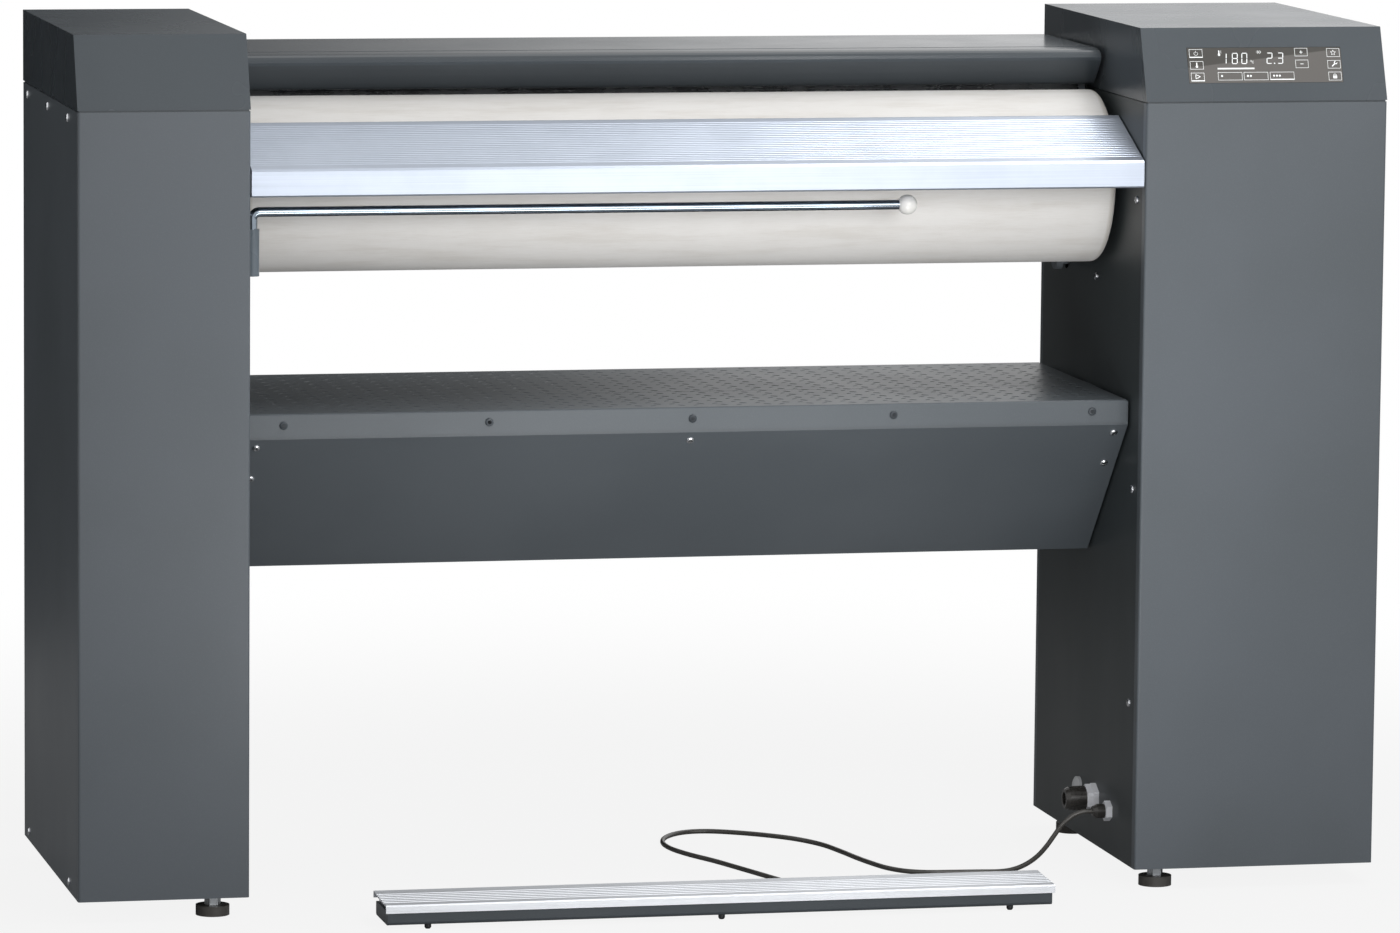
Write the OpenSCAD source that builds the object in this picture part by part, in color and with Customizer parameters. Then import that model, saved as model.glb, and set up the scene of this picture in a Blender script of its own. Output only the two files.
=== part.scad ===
// Flatwork ironer: a padded roller turns between two columns, under a heated shoe.
// X runs along the roller, Y from front to back and Z up from the floor.
// Angles in the side view count from +Y towards +Z.

/* [Overall] */
// Width over both columns
overall_w = 1585; // [1500:5:1700]
// Height of the columns above the floor
machine_h = 1042; // [1035:1:1060]
// Depth of the columns
column_d = 470; // [465:1:480]
// Width of the left column
left_w = 203; // [195:1:215]
// Width of the right column
right_w = 300; // [295:1:330]
// How far the foot bar stands in front of the columns
bar_reach = 105; // [100:1:160]

/* [Columns] */
// Sheet steel thickness of the panels
sheet = 1.5; // [1.2:0.1:2]
// Outer bend radius of the upright corners
corner_r = 3; // [2.5:0.1:4]
// Width of the returns of the front and rear panels
return_w = 14; // [12:1:18]
// Gap between neighbouring panels
seam = 0.4; // [0.2:0.1:0.6]
// Height of the cap on top of a column
cap_h = 86; // [84:1:90]
// Dark joint under the cap
cap_gap = 2; // [1.5:0.1:3]
// How far the cap's front leans back
cap_run = 34; // [30:1:40]
// Height of the panels' lower edge above the floor
foot_h = 26; // [24:1:30]
// Thickness of the base trays
base_t = 2.5; // [2:0.1:3]
// Height of the base trays' rim
base_rim = 24; // [18:1:30]
// Length of one louvre in the rear panel
vent_l = 150; // [120:5:160]
// Height of one louvre
vent_h = 5; // [4:0.5:6]
// Step from one louvre to the next
vent_step = 13; // [12:1:16]
// Number of louvres in a field
vent_count = 8; // [4:1:10]
// Height of the lowest louvre
vent_z = 180; // [150:5:220]
// Head radius of the panel screws
screw_r = 5; // [4:0.5:6]
// Head height of the panel screws
screw_h = 3; // [2.5:0.1:3.5]
// Distance of an inner panel's screws behind the column's front
inner_screw_back = 35.4; // [32:0.1:42]
// Distance of the upper one of them below the table
inner_screw_drop = 17.3; // [16:0.1:18.5]
// Distance of the middle one behind the column's front
mid_screw_back = 211; // [205:1:217]
// Distance of the middle one below the roller's axis
mid_screw_drop = 124.7; // [122:0.1:130]
// Distance of the one under the shelf below it
shelf_screw_drop = 107; // [100:1:114]
// Height of the lowest one
low_screw_z = 225; // [215:1:235]
// Distance of the outer panels' screws from the panel's upper and lower edges
screw_edge = 12; // [10:1:16]

/* [Side frames] */
// Thickness of the side frame plates
plate_t = 8; // [6:0.5:10]
// Gap between the inner panel and the side frame plate
plate_gap = 10; // [8:0.5:12]
// Distance of the side frame plates behind the columns' front
plate_front = 56; // [54:1:60]
// Distance of the side frame plates in front of the columns' back
plate_rear = 36; // [34:1:38]
// Width of the plates' stiffening flanges
plate_flange = 28; // [20:1:32]
// Radius of the plates' cut-outs
light_r = 60; // [50:1:64]
// Gap between the plate's top and the joint under the cap
plate_top_gap = 14; // [10:1:20]

/* [Feet] */
// Radius of a levelling foot's pad
pad_r = 20; // [18:0.5:22]
// Height of the pad
pad_h = 12; // [10:0.5:13]
// Thread radius of the foot's stud
stud_r = 5; // [4:0.5:6]
// Width across the flats of the stud's hexagon
stud_af = 17; // [15:0.5:19]
// Length of the stud above the tray's underside
stud_l = 30; // [24:1:34]
// Distance of the feet from a column's inner face
foot_side = 37.5; // [34:0.5:45]
// Distance of the front feet from the columns' front
foot_front = 40; // [36:1:60]
// Distance of the rear feet from the columns' back
foot_rear = 51; // [51:1:60]
// Radius of the nut that is welded into the tray
weld_nut_r = 9; // [8:0.5:11]

/* [Roller] */
// Radius of the roller over its cloth
roller_r = 105; // [103:0.5:105.5]
// Distance of the roller's axis behind the columns' front
roller_back = 198; // [197:0.5:200]
// Distance of the roller's axis below the columns' top
roller_drop = 191; // [190:0.5:193]
// Gap between the roller and a column
roller_gap = 9; // [8:0.5:12]
// Thickness of the cloth
cloth_t = 2; // [1.5:0.1:2.5]
// Radius of the rounded end of the cloth
cloth_round = 7; // [5:0.5:9]
// Radius at which the cloth is gathered over the roller's end
cloth_hem_r = 78; // [70:1:84]
// Thickness of the padding
padding_t = 7; // [5:0.5:9]
// Wall of the roller tube
tube_wall = 4; // [3:0.5:5]
// Thickness of the tube's end discs
disc_t = 8; // [6:1:10]
// How far the end discs lie inside the tube
disc_in = 12; // [8:1:20]
// Shaft radius
shaft_r = 15; // [14:0.5:16]
// Outer radius of the shaft bearings
bearing_r = 31; // [30:0.5:33]
// Radius of the bearings' flange
bearing_flange_r = 44; // [42:1:48]
// Thickness of the bearings' flange
bearing_flange_t = 6; // [5:0.5:8]
// How far the bearings stand out from their plate
bearing_w = 15; // [13:1:18]
// Radius of the shaft holes in the inner panels
shaft_hole_r = 26; // [24:1:30]

/* [Drive] */
// Gear module
gear_m = 3; // [2.9:0.01:3.1]
// Teeth of the roller's gear
gear_z = 60;
// Teeth of the pinion
pinion_z = 20;
// Face width of the gears
gear_w = 18; // [14:1:20]
// Side gap between the gears and their neighbours
gear_gap = 6; // [5:0.5:8]
// Play at each flank of a tooth
backlash = 0.15; // [0.1:0.05:0.25]
// Radius of the gear's hub
hub_r = 26; // [24:1:28]
// Radius of the pinion's shaft
pinion_shaft_r = 10; // [9:0.5:11]
// Thickness of the motor's mounting plate
motor_plate_t = 6; // [5:0.5:8]
// Radius of the spacers between side frame and motor plate
spacer_r = 8; // [7:0.5:9]
// Length of the gearbox
gearbox_l = 64; // [55:1:70]
// Width and height of the gearbox
gearbox_w = 118; // [110:1:124]
// Radius of the motor
motor_r = 55; // [50:1:60]
// Length of the motor
motor_l = 118; // [100:1:120]
// Height of the motor's cooling ribs
motor_rib = 5; // [3:0.5:6]
// Number of the motor's cooling ribs
motor_ribs = 20; // [12:2:24]

/* [Heated shoe] */
// Gap between the closed shoe and the cloth
press_gap = 0.6; // [0.4:0.1:1]
// Thickness of the shoe
shoe_t = 10; // [8:0.5:11]
// Angle at the shoe's front edge
shoe_front_a = 66; // [60:1:67]
// Angle at the shoe's lower rear edge
shoe_rear_a = -14; // [-16:1:-8]
// How far the shoe opens from the cloth
open_gap = 6; // [5:0.25:7]
// Distance of the shoe's pivot behind the roller's axis
pivot_back = 152; // [150:1:156]
// Distance of the shoe's pivot below the roller's axis
pivot_drop = 114; // [112:1:118]
// Radius of the pivot pins
pivot_r = 10; // [9:0.5:11]
// Thickness of the shoe's end arms
arm_t = 8; // [6:0.5:9]
// Height of the arms over the shoe
arm_h = 42; // [38:1:44]
// Radius of the arms' pivot bosses
arm_boss_r = 16; // [15:0.5:18]
// Radius of the heating rods
heater_r = 5; // [4:0.5:6]
// Number of heating rods
heater_count = 4; // [3:1:5]
// Gap between the rods and the insulation
blanket_gap = 3; // [2:0.5:4]
// Thickness of the insulation
blanket_t = 14; // [10:1:16]
// Angle that the blanket stops short of the shoe's front edge
blanket_edge_a = 4; // [2:1:6]
// Angle of the blanket's walls along both edges
blanket_wall_a = 2; // [1:1:4]
// How far the bushes' flange stands out over the pins
bush_flange = 8; // [6:0.5:9]
// Length of the shoe's lever
lever_l = 50; // [46:1:52]
// Thickness of the lever
lever_t = 8; // [6:0.5:9]
// Half height of the lever
lever_half = 14; // [12:0.5:15]
// Radius of the lever's pin
lever_pin_r = 5; // [4.5:0.5:6]
// Radial clearance of the open pivot at the lever's pin
open_pivot = 0.8; // [0.6:0.1:1]
// Radius of the actuator's housing
actuator_r = 18; // [16:0.5:19]
// Length of the actuator's housing
actuator_l = 210; // [180:5:230]
// Radius of the actuator's rod
rod_r = 8; // [7:0.5:9]
// Distance from the rod's pin to the housing
rod_free = 90; // [80:1:110]
// Half width of the rod's fork
fork_half = 13; // [12:0.5:14]
// Wall of the rod's fork
fork_t = 5; // [4:0.5:6]

/* [Hood] */
// Height of the hood's top above the roller
hood_over = 50; // [49.5:0.5:52]
// Distance of the hood's rear face behind the columns' front
hood_back = 455; // [450:1:460]
// Distance of the hood's rear edge below the roller's axis
hood_low = 69; // [61:1:73]
// Gap between the hood and a column
hood_gap = 6; // [5:0.5:8]
// Outer bend radius at the hood's rear edge
hood_bend = 12; // [8:1:14]
// Depth of the hood's rear return
hood_return = 20; // [16:1:24]
// Length of the hood's lower rear lip
hood_lip = 96; // [80:1:100]
// Rise of the lip towards the roller
hood_lip_rise = 26; // [20:1:30]
// Depth of the finger guard
guard_d = 48; // [46:0.5:49]
// Height of the finger guard
guard_h = 45.2; // [44:0.1:45.5]
// Distance of the groove behind the columns' front
groove_back = 231; // [230.5:0.1:232]
// Width of the groove between guard and top cover
groove_w = 1.6; // [1.2:0.1:2]
// Wall of the finger guard
guard_t = 2; // [1.5:0.1:2.5]
// Radius of the finger guard's pins
guard_pin_r = 3; // [2.5:0.25:3.5]
// Length of the finger guard's pins
guard_pin_l = 5; // [4:0.5:6]
// Distance of the finger guard's pins below the hood's top
guard_pin_drop = 8.5; // [8.5:0.25:9]

/* [Feed table] */
// Gap between the table and a column
table_gap = 1.5; // [1:0.1:2]
// Height of the table's underside above the roller's axis
table_over = 2; // [0:0.5:4]
// Height of the table's front lip
table_lip = 32; // [30:0.5:33]
// Distance of the table's lip behind the columns' front
table_in = 1; // [0.5:0.1:2]
// Depth of the table
table_d = 119; // [116:0.5:119.5]
// Rise of the table's top towards the roller
table_rise = 46; // [45:0.5:48]
// Wall of the table
table_t = 4; // [3:0.5:4.5]
// Depth of the flange under the lip
table_flange = 20; // [16:0.5:24]
// Number of grooves along the table
table_grooves = 22; // [10:1:26]
// Depth of a groove
groove_depth = 0.5; // [0.3:0.1:0.8]
// Width of the table's end brackets
bracket_w = 26; // [20:1:30]
// Thickness of the brackets
bracket_t = 3; // [2:0.5:4]

/* [Linen rod] */
// Radius of the rod
linen_r = 5.8; // [5:0.1:6]
// Length of the rod from its pivot to the ball
linen_l = 790; // [760:5:820]
// Distance of the rod below the table
linen_drop = 20.4; // [18:0.2:22]
// Distance of the rod behind the columns' front
linen_back = 40; // [38:0.5:44]
// Bend radius of the rod's centre line
linen_bend = 8.5; // [8:0.5:10]
// Radius of the ball
ball_r = 12; // [11:0.5:13]
// Radius of the socket tube
socket_r = 8.1; // [8:0.1:9]
// Height of the socket tube
socket_h = 55.4; // [50:0.2:58]
// Distance of the socket's axis from the column
socket_out = 8.6; // [8.6:0.1:9.5]
// Distance of the socket's top below the rod
socket_drop = 19.8; // [19:0.1:22]

/* [Shelf and beam] */
// Distance of the shelf below the roller's axis
shelf_drop = 258.4; // [250:0.1:265]
// Height of the shelf's lip
shelf_lip = 27.5; // [25:0.5:30]
// Distance of the lip behind the columns' front
shelf_front = 50; // [45:1:55]
// Distance of the shelf's rear edge behind the columns' front
shelf_back = 455; // [445:1:460]
// Gap between the shelf and a column
shelf_gap = 5; // [4:0.5:7]
// Distance of the shelf's seam behind the columns' front
shelf_seam = 208; // [200:1:220]
// Depth of the seam in the shelf
shelf_seam_depth = 0.5; // [0.3:0.1:0.8]
// Gap between the beam and a column
beam_gap = 2.5; // [2:0.1:3]
// Height from the beam's underside to the shelf
beam_h = 204.6; // [198:0.1:212]
// How far the beam's front slopes back
beam_run = 172; // [160:1:180]
// Depth of the beam's flat underside
beam_floor = 90; // [70:1:110]
// Width and depth of the cross tube
cross_w = 60; // [50:1:70]
// Distance of the cross tube behind the columns' front
cross_back = 236; // [230:1:250]
// Wall of the cross tube
cross_wall = 3; // [2:0.5:4]
// Width of the cross tube's end flanges
cross_flange = 15; // [12:1:18]

/* [Display] */
// Width of the display glass
glass_w = 192; // [180:1:200]
// Height of the display glass
glass_h = 44; // [40:1:48]
// Thickness of the display glass
glass_t = 3; // [2:0.5:4]
// Distance of the glass from the column's inner face
glass_side = 55; // [50:1:60]
// Distance of the glass above the joint, up the slope
glass_up = 23; // [20:1:26]
// Gap round the display glass
glass_gap = 0.3; // [0.2:0.1:0.4]
// Thickness of the control board
board_t = 1.6; // [1.2:0.2:2]
// Distance of the board behind the glass
board_gap = 9; // [7:0.5:12]
// Radius of the board's spacers
board_post_r = 3; // [2.5:0.5:4]

/* [Glands] */
// Height of the mains cable's gland
mains_z = 84.5; // [80:0.5:90]
// Distance of the mains gland behind the columns' front
mains_back = 178; // [174:1:182]
// Radius of the mains gland's bore
mains_bore_r = 8; // [7:0.25:9]
// Radius of the mains gland's thread
mains_thread_r = 12.5; // [12:0.5:13]
// Width across the flats of the mains gland
mains_af = 32; // [30:0.5:34]
// Height of the mains gland's hexagon
mains_hex_h = 14; // [12:0.5:15]
// Length of the mains gland's dome nut
mains_dome_l = 26; // [23:1:29]
// Height of the switch cable's gland
switch_z = 79.5; // [76:0.5:84]
// Distance of the switch gland behind the columns' front
switch_back = 112; // [108:1:116]
// Radius of the switch gland's thread
switch_thread_r = 8; // [7.5:0.25:8.5]
// Width across the flats of the switch gland
switch_af = 22; // [20:0.5:24]
// Height of the switch gland's hexagon
switch_hex_h = 7.5; // [6:0.5:8]
// Length of the switch gland's dome nut
switch_dome_l = 15; // [13:0.5:16]
// Radius of the blanking plug
plug_r = 12; // [11:0.5:13]
// Thickness of the blanking plug
plug_t = 9; // [8:0.5:10]
// Height of the blanking plug
plug_z = 87; // [84:1:90]
// Distance of the blanking plug behind the columns' front
plug_back = 252; // [248:1:256]

/* [Foot bar] */
// Length of the tread
tread_l = 810; // [780:5:840]
// Depth of the tread
tread_d = 84; // [82:1:88]
// Distance of the tread from the machine's left face
tread_side = 347.5; // [330:2.5:360]
// Height of the tread's front edge
tread_front_z = 30.5; // [30:0.1:32]
// Height of the tread's rear edge
tread_rear_z = 33.7; // [33:0.1:35]
// Height of the tread's front lip
tread_lip = 9.7; // [9:0.1:10.5]
// Height of the tread's rear hook
tread_hook = 8; // [7:0.5:9]
// Wall of the tread
tread_t = 2.4; // [2:0.1:2.6]
// Number of grooves in the tread
tread_grooves = 6; // [4:1:8]
// Depth of the grooves in the tread
tread_groove = 0.9; // [0.6:0.1:1.1]
// Gap between the tread's ends and the channel's ends
channel_in = 2.5; // [2:0.5:4]
// Height of the channel's underside
channel_z = 5.8; // [5:0.1:7]
// Wall of the channel
channel_t = 2; // [1.5:0.1:2.2]
// Height of the channel's walls
channel_h = 16; // [15:0.5:17]
// Bend radius of the channel
channel_r = 4; // [3:0.5:5]
// Gap between the channel's walls and the tread's lips
channel_gap = 1.5; // [1.2:0.1:2]
// Thickness of the bar's end plates
end_t = 3; // [2:0.5:4]
// Radius of the tread's pins
tread_pin_r = 2.5; // [2:0.25:2.5]
// Length of the tread's pins
tread_pin_l = 7; // [6:0.5:9]
// Radius of the bar's rubber feet
bar_pad_r = 4; // [3.5:0.25:5]
// Radius of the bar's cable grommet
grommet_r = 6; // [5.5:0.25:6.5]
// Length of the bar's switch
bar_switch_l = 28; // [24:1:32]
// Width of the bar's switch
bar_switch_w = 10; // [8:0.5:12]
// Height of the bar's switch
bar_switch_h = 11; // [9:0.5:11]
// Free travel above the bar's springs
spring_drop = 1.6; // [1.5:0.1:2]
// Length of the cable's strain relief at the bar
relief_l = 24; // [20:1:28]

/* [Hidden] */
// Diameter of the switch cable
cable_d = 6;
// Sides of the swept cable
cable_sides = 10;
// Length of cable from one ring of the sweep to the next
cable_step = 16;
// Share of the control points' spacing that bends the spline
spline_share = 0.5;
// Overrun of every cut
cut = 1;
// Gap of pieces that seat against each other
fit = 0.3;
// Radial gap of a pin or shaft in its bore
run_fit = 0.05;
// Pressure angle of the gears
pressure_a = 20;
// Steps along a tooth's flank
flank_steps = 3;
// Half of a measure
half_share = 0.5;
$fn = 48;

left_x = -overall_w / 2;
right_x = overall_w / 2;
left_in = left_x + left_w;
right_in = right_x - right_w;
front_y = -(column_d - bar_reach) / 2;
back_y = front_y + column_d;
seam_z = machine_h - cap_h;
roller_z = machine_h - roller_drop;
hood_z = roller_z + roller_r + hood_over;
hood_bottom_z = roller_z - hood_low;
table_z = roller_z + table_over;
linen_z = table_z - linen_drop;
shelf_z = roller_z - shelf_drop;
beam_z = shelf_z - beam_h;
panel_top = seam_z - cap_gap;
slant_a = atan2(cap_h, cap_run);

left_plate_x = left_in - sheet - plate_gap - plate_t;
right_plate_x = right_in + sheet + plate_gap;
right_plate_end = right_plate_x + plate_t;
plate_z0 = foot_h + base_t;
plate_z1 = seam_z - plate_top_gap;

roller_y = front_y + roller_back;
roller_x0 = left_in + roller_gap;
roller_x1 = right_in - roller_gap;
cloth_in_r = roller_r - cloth_t;
padding_in_r = cloth_in_r - fit - padding_t;
tube_r = padding_in_r - fit;

pivot_y = roller_y + pivot_back;
pivot_z = roller_z - pivot_drop;
open_a = asin(open_gap / norm([pivot_back, pivot_drop]));
shoe_r = roller_r + press_gap;
rest_y = pivot_y - pivot_back * cos(open_a) + pivot_drop * sin(open_a);
rest_z = pivot_z + pivot_drop * cos(open_a) + pivot_back * sin(open_a);

gear_x = right_plate_end + bearing_w + gear_gap;
gear_r = gear_m * gear_z / 2;
pinion_r = gear_m * pinion_z / 2;
pinion_zc = roller_z - gear_r - pinion_r;
motor_plate_x = gear_x + gear_w + gear_gap;

lever_x = right_plate_end + actuator_r + fit;
lever_pin_y = pivot_y + lever_l;

hood_x0 = left_in + hood_gap;
hood_x1 = right_in - hood_gap;
hood_y1 = front_y + hood_back;
groove_y = front_y + groove_back;
guard_y0 = groove_y - guard_d;
guard_z0 = hood_z - guard_h;
guard_pin_y = groove_y + guard_pin_r + fit;
guard_pin_z = hood_z - guard_pin_drop;
arm_x0 = hood_x0 + sheet + fit;
arm_x1 = hood_x1 - sheet - fit;

socket_x = left_in + socket_out;
linen_y = front_y + linen_back;

shelf_x0 = left_in + shelf_gap;
shelf_x1 = right_in - shelf_gap;
shelf_y0 = front_y + shelf_front;
shelf_y1 = front_y + shelf_back;
beam_x0 = left_in + beam_gap;
beam_x1 = right_in - beam_gap;
beam_y0 = shelf_y0 + sheet + fit;
beam_top = shelf_z - sheet - fit;
beam_bend_z = shelf_z - shelf_lip - 2 * sheet;
cross_y = front_y + cross_back;
cross_z = beam_top - cross_w / 2;

tread_x0 = left_x + tread_side;
tread_x1 = tread_x0 + tread_l;
tread_y0 = front_y - bar_reach;
tread_y1 = tread_y0 + tread_d;
channel_x0 = tread_x0 + channel_in;
channel_x1 = tread_x1 - channel_in;
channel_y0 = tread_y0 + tread_t + channel_gap;
channel_y1 = tread_y1 - tread_t - channel_gap;
tread_pin_y = channel_y1 - channel_t - 2 * tread_pin_r;
tread_pin_z = channel_z + channel_h;
grommet_z = channel_z + channel_h * half_share;

// Places of the screws on an inner panel: on Y and in height
inner_screws = [
    [front_y + inner_screw_back, table_z - inner_screw_drop],
    [front_y + mid_screw_back, roller_z - mid_screw_drop],
    [front_y + inner_screw_back, shelf_z - shelf_screw_drop], [front_y + inner_screw_back, low_screw_z]
];

// Places of the levelling feet
feet_x = [left_in - foot_side, right_in + foot_side];
feet_y = [front_y + foot_front, back_y - foot_rear];

// Route of the switch cable's centre line, from the column's gland to the foot bar
cable_x0 = right_in - switch_hex_h - switch_dome_l;
cable_route = [
    [cable_x0, front_y + switch_back, switch_z], [458, -70.5, 79], [445, -70, 74], [433, -69, 64],
    [424, -67, 51], [415, -64, 37], [405, -59, 24], [393, -54, 14], [379, -49, 7], [362, -44, 3.5],
    [335, -39, 3],
    [302, -36, 3], [272, -32, 3], [250, -20, 3], [235, 0, 3], [225, 26, 3], [213, 75, 3],
    [203, 130, 3], [191, 180, 3], [168, 224, 3], [137, 257, 3], [105, 281, 3], [74, 296, 3],
    [47, 296, 3], [25, 282, 3], [8, 257, 3], [-1, 227, 3], [-2, 197, 3], [3, 168, 3],
    [15, 132, 3], [34, 88, 3], [54, 32, 3], [74, -26, 3], [92, -80, 3], [105, -126, 3.5],
    [112, -152, 6], [115, -170, 10], [115, tread_y1 + relief_l, grommet_z]
];
cable_end = cable_route[len(cable_route) - 1];

// Extrudes a side view, drawn in Y and Z, from one X to another
module side_view(x0, x1) {
    translate([x0, 0, 0]) rotate([90, 0, 90]) linear_extrude(height = x1 - x0) children();
}

// A round bar along X
module bar_x(x0, x1, y, z, r) {
    translate([x0, y, z]) rotate([0, 90, 0]) cylinder(h = x1 - x0, r = r);
}

// A box between two corners
module box(a, b) {
    translate(a) cube(b - a);
}

// A ring sector about the origin of a side view
module sector_2d(r0, r1, a0, a1) {
    reach = 2 * r1;
    intersection() {
        difference() {
            circle(r1);
            circle(r0);
        }
        polygon([[0, 0], reach * [cos(a0), sin(a0)], reach * [cos((a0 + a1) / 2), sin((a0 + a1) / 2)],
            reach * [cos(a1), sin(a1)]]);
    }
}

// A strip with two round corners at its front
module round_strip_2d(w, d, r) {
    translate([r, 0]) square([w - 2 * r, d]);
    translate([0, r]) square([w, d - r]);
    for (x = [r, w - r]) translate([x, r]) circle(r);
}

// A front or rear panel with returns along both upright edges
module channel_panel(x0, x1, y, turn) {
    translate([(x0 + x1) / 2, y, foot_h]) rotate(turn) translate([-(x1 - x0) / 2, 0, 0])
        linear_extrude(height = panel_top - foot_h)
            difference() {
                round_strip_2d(x1 - x0, return_w, corner_r);
                translate([sheet, sheet]) round_strip_2d(x1 - x0 - 2 * sheet, return_w, corner_r - sheet);
            }
}

// The louvres of a rear panel
module vents(xc) {
    for (i = [0:vent_count - 1])
        box([xc - vent_l / 2, back_y - return_w, vent_z + i * vent_step],
            [xc + vent_l / 2, back_y + cut, vent_z + i * vent_step + vent_h]);
}

// A flat side panel whose lower X is given
module side_panel(x0) {
    box([x0, front_y + return_w + seam, foot_h], [x0 + sheet, back_y - return_w - seam, panel_top]);
}

// Holes that both inner panels have
module inner_panel_holes(x0) {
    x1 = x0 + sheet + cut;
    bar_x(x0 - cut, x1, roller_y, roller_z, shaft_hole_r);
    bar_x(x0 - cut, x1, pivot_y, pivot_z, pivot_r + pivot_r / 2);
    reach = cross_w / 2 + fit;
    box([x0 - cut, cross_y - reach, cross_z - reach], [x1, cross_y + reach, cross_z + reach]);
}

// Side view of a cap, drawn in by a wall
function cap_outline(t, z0) = let (lean = cap_run / cap_h, skew = t / sin(slant_a)) [
    [front_y + skew + (z0 - seam_z) * lean, z0],
    [front_y + skew + (cap_h - t) * lean, machine_h - t],
    [back_y - t, machine_h - t],
    [back_y - t, z0]
];

module column_cap(x0, x1) {
    difference() {
        side_view(x0, x1) polygon(cap_outline(0, seam_z));
        side_view(x0 + sheet, x1 - sheet) polygon(cap_outline(sheet, seam_z - cut));
    }
    // A lip that drops into the column, behind the dark joint
    lip = sheet + fit;
    difference() {
        box([x0 + lip, front_y + lip, panel_top - lip], [x1 - lip, back_y - lip, seam_z + lip]);
        box([x0 + lip + sheet, front_y + lip + sheet, panel_top - lip - cut],
            [x1 - lip - sheet, back_y - lip - sheet, seam_z + lip + cut]);
    }
    // The step on which the lip is welded to the cap
    difference() {
        box([x0 + fit, front_y + lip, seam_z], [x1 - fit, back_y - fit, seam_z + sheet]);
        box([x0 + lip + sheet, front_y + lip + sheet, seam_z - cut],
            [x1 - lip - sheet, back_y - lip - sheet, seam_z + lip]);
    }
}

// Works on a cap's slope: X along, Y up the slope, Z out of it
module on_slope(x) {
    translate([x, front_y, seam_z]) rotate([slant_a, 0, 0]) children();
}

module base_tray(x0, x1, foot_x) {
    wall = sheet + fit;
    difference() {
        box([x0 + wall, front_y + wall, foot_h], [x1 - wall, back_y - wall, foot_h + base_rim]);
        box([x0 + wall + sheet, front_y + wall + sheet, foot_h + base_t],
            [x1 - wall - sheet, back_y - wall - sheet, foot_h + base_rim + cut]);
        for (y = feet_y) translate([foot_x, y, foot_h - cut])
            cylinder(h = base_rim, r = stud_r + run_fit);
    }
    for (y = feet_y) translate([foot_x, y, foot_h + base_t]) difference() {
        cylinder(h = weld_nut_r, r = weld_nut_r);
        translate([0, 0, -cut]) cylinder(h = weld_nut_r + 2 * cut, r = stud_r + run_fit);
    }
}

// A side frame plate; its flanges point towards the given side
module side_frame(x0, flange_side) {
    y0 = front_y + plate_front;
    y1 = back_y - plate_rear;
    side_view(x0, x0 + plate_t) difference() {
        translate([y0, plate_z0]) square([y1 - y0, plate_z1 - plate_z0]);
        translate([roller_y, roller_z]) circle(bearing_r + run_fit);
        translate([pivot_y, pivot_z]) circle(pivot_r + sheet + run_fit);
        // Round cut-outs that save weight
        for (z = [plate_z0 + 3 * light_r, plate_z0 + 6 * light_r])
            translate([(y0 + y1) / 2, z]) circle(light_r);
    }
    x1 = flange_side > 0 ? x0 + plate_t : x0 - plate_flange;
    for (y = [y0, y1 - plate_t / 2])
        box([x1, y, plate_z0], [x1 + plate_flange, y + plate_t / 2, plate_z1]);
}

// A domed screw head that stands on a surface, along +Z
module screw_head() {
    ball = (screw_r * screw_r + screw_h * screw_h) / (2 * screw_h);
    difference() {
        intersection() {
            translate([0, 0, screw_h - ball]) sphere(ball);
            cylinder(h = screw_h, r = screw_r);
        }
        translate([0, 0, screw_h / 2]) cylinder(h = screw_h, r = screw_r * half_share, $fn = 6);
    }
}

// Shares of the column's depth at which the upper and lower screws of an outer panel sit
upper_screw_shares = [0.168, 0.53, 0.906];
lower_screw_shares = [0.16, 0.9];
// Shares of the lip's length at which its screws sit
lip_screw_shares = [0.04, 0.27, 0.5, 0.73, 0.96];
// Shares of the table's depth at which its wall bends down and its brackets end
table_bend_share = 0.12;
bracket_end_share = 0.75;
// Shares of the table's depth at which its top's round edges end
table_edge_shares = [0.02, 0.985];
// Depth of a tooth's root as a share of the module
root_share = 1.25;
// Width of the tread's knuckle as a share of its pin
knuckle_share = 1.7;
// Shares of the tread's length at which its springs sit
spring_shares = [0.25, 0.75];
// Shares of the beam's length and of its slope at which its screws sit
beam_screw_shares = [[0.0135, 0.06], [0.5, 0.06], [0.9865, 0.06], [0.0135, 0.3], [0.9865, 0.3]];

// Side view of the finger guard's nose, as shares of its depth and height
guard_shares = [
    [0.98, 0.97], [0.94, 0.995], [0.88, 1], [0.7, 1], [0.4, 0.985], [0.21, 0.957], [0.1, 0.915],
    [0.035, 0.86], [0, 0.78], [0.03, 0.7], [0.125, 0.59], [0.32, 0.38], [0.52, 0.175], [0.625, 0.075],
    [0.72, 0.02], [0.84, 0], [0.94, 0]
];

function unit(v) = v / norm(v);

// Moves the points of an open outline sideways by a wall
function inset(pts, t) = [for (i = [0:len(pts) - 1])
    let (d = unit(pts[min(i + 1, len(pts) - 1)] - pts[max(i - 1, 0)])) pts[i] + t * [-d[1], d[0]]];

function reversed(pts) = [for (i = [len(pts) - 1:-1:0]) pts[i]];

function guard_outline() = [for (s = guard_shares) [guard_y0 + s[0] * guard_d, guard_z0 + s[1] * guard_h]];

// Half angle of a tooth at a radius, measured from the tooth's middle
function involute(a) = tan(a) - a * PI / 180;

function flank_a(z, r) = let (base = gear_m * z / 2 * cos(pressure_a), a = acos(min(1, base / r)))
    90 / z - backlash / (gear_m * z / 2) * 180 / PI + (involute(pressure_a) - involute(a)) * 180 / PI;

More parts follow.
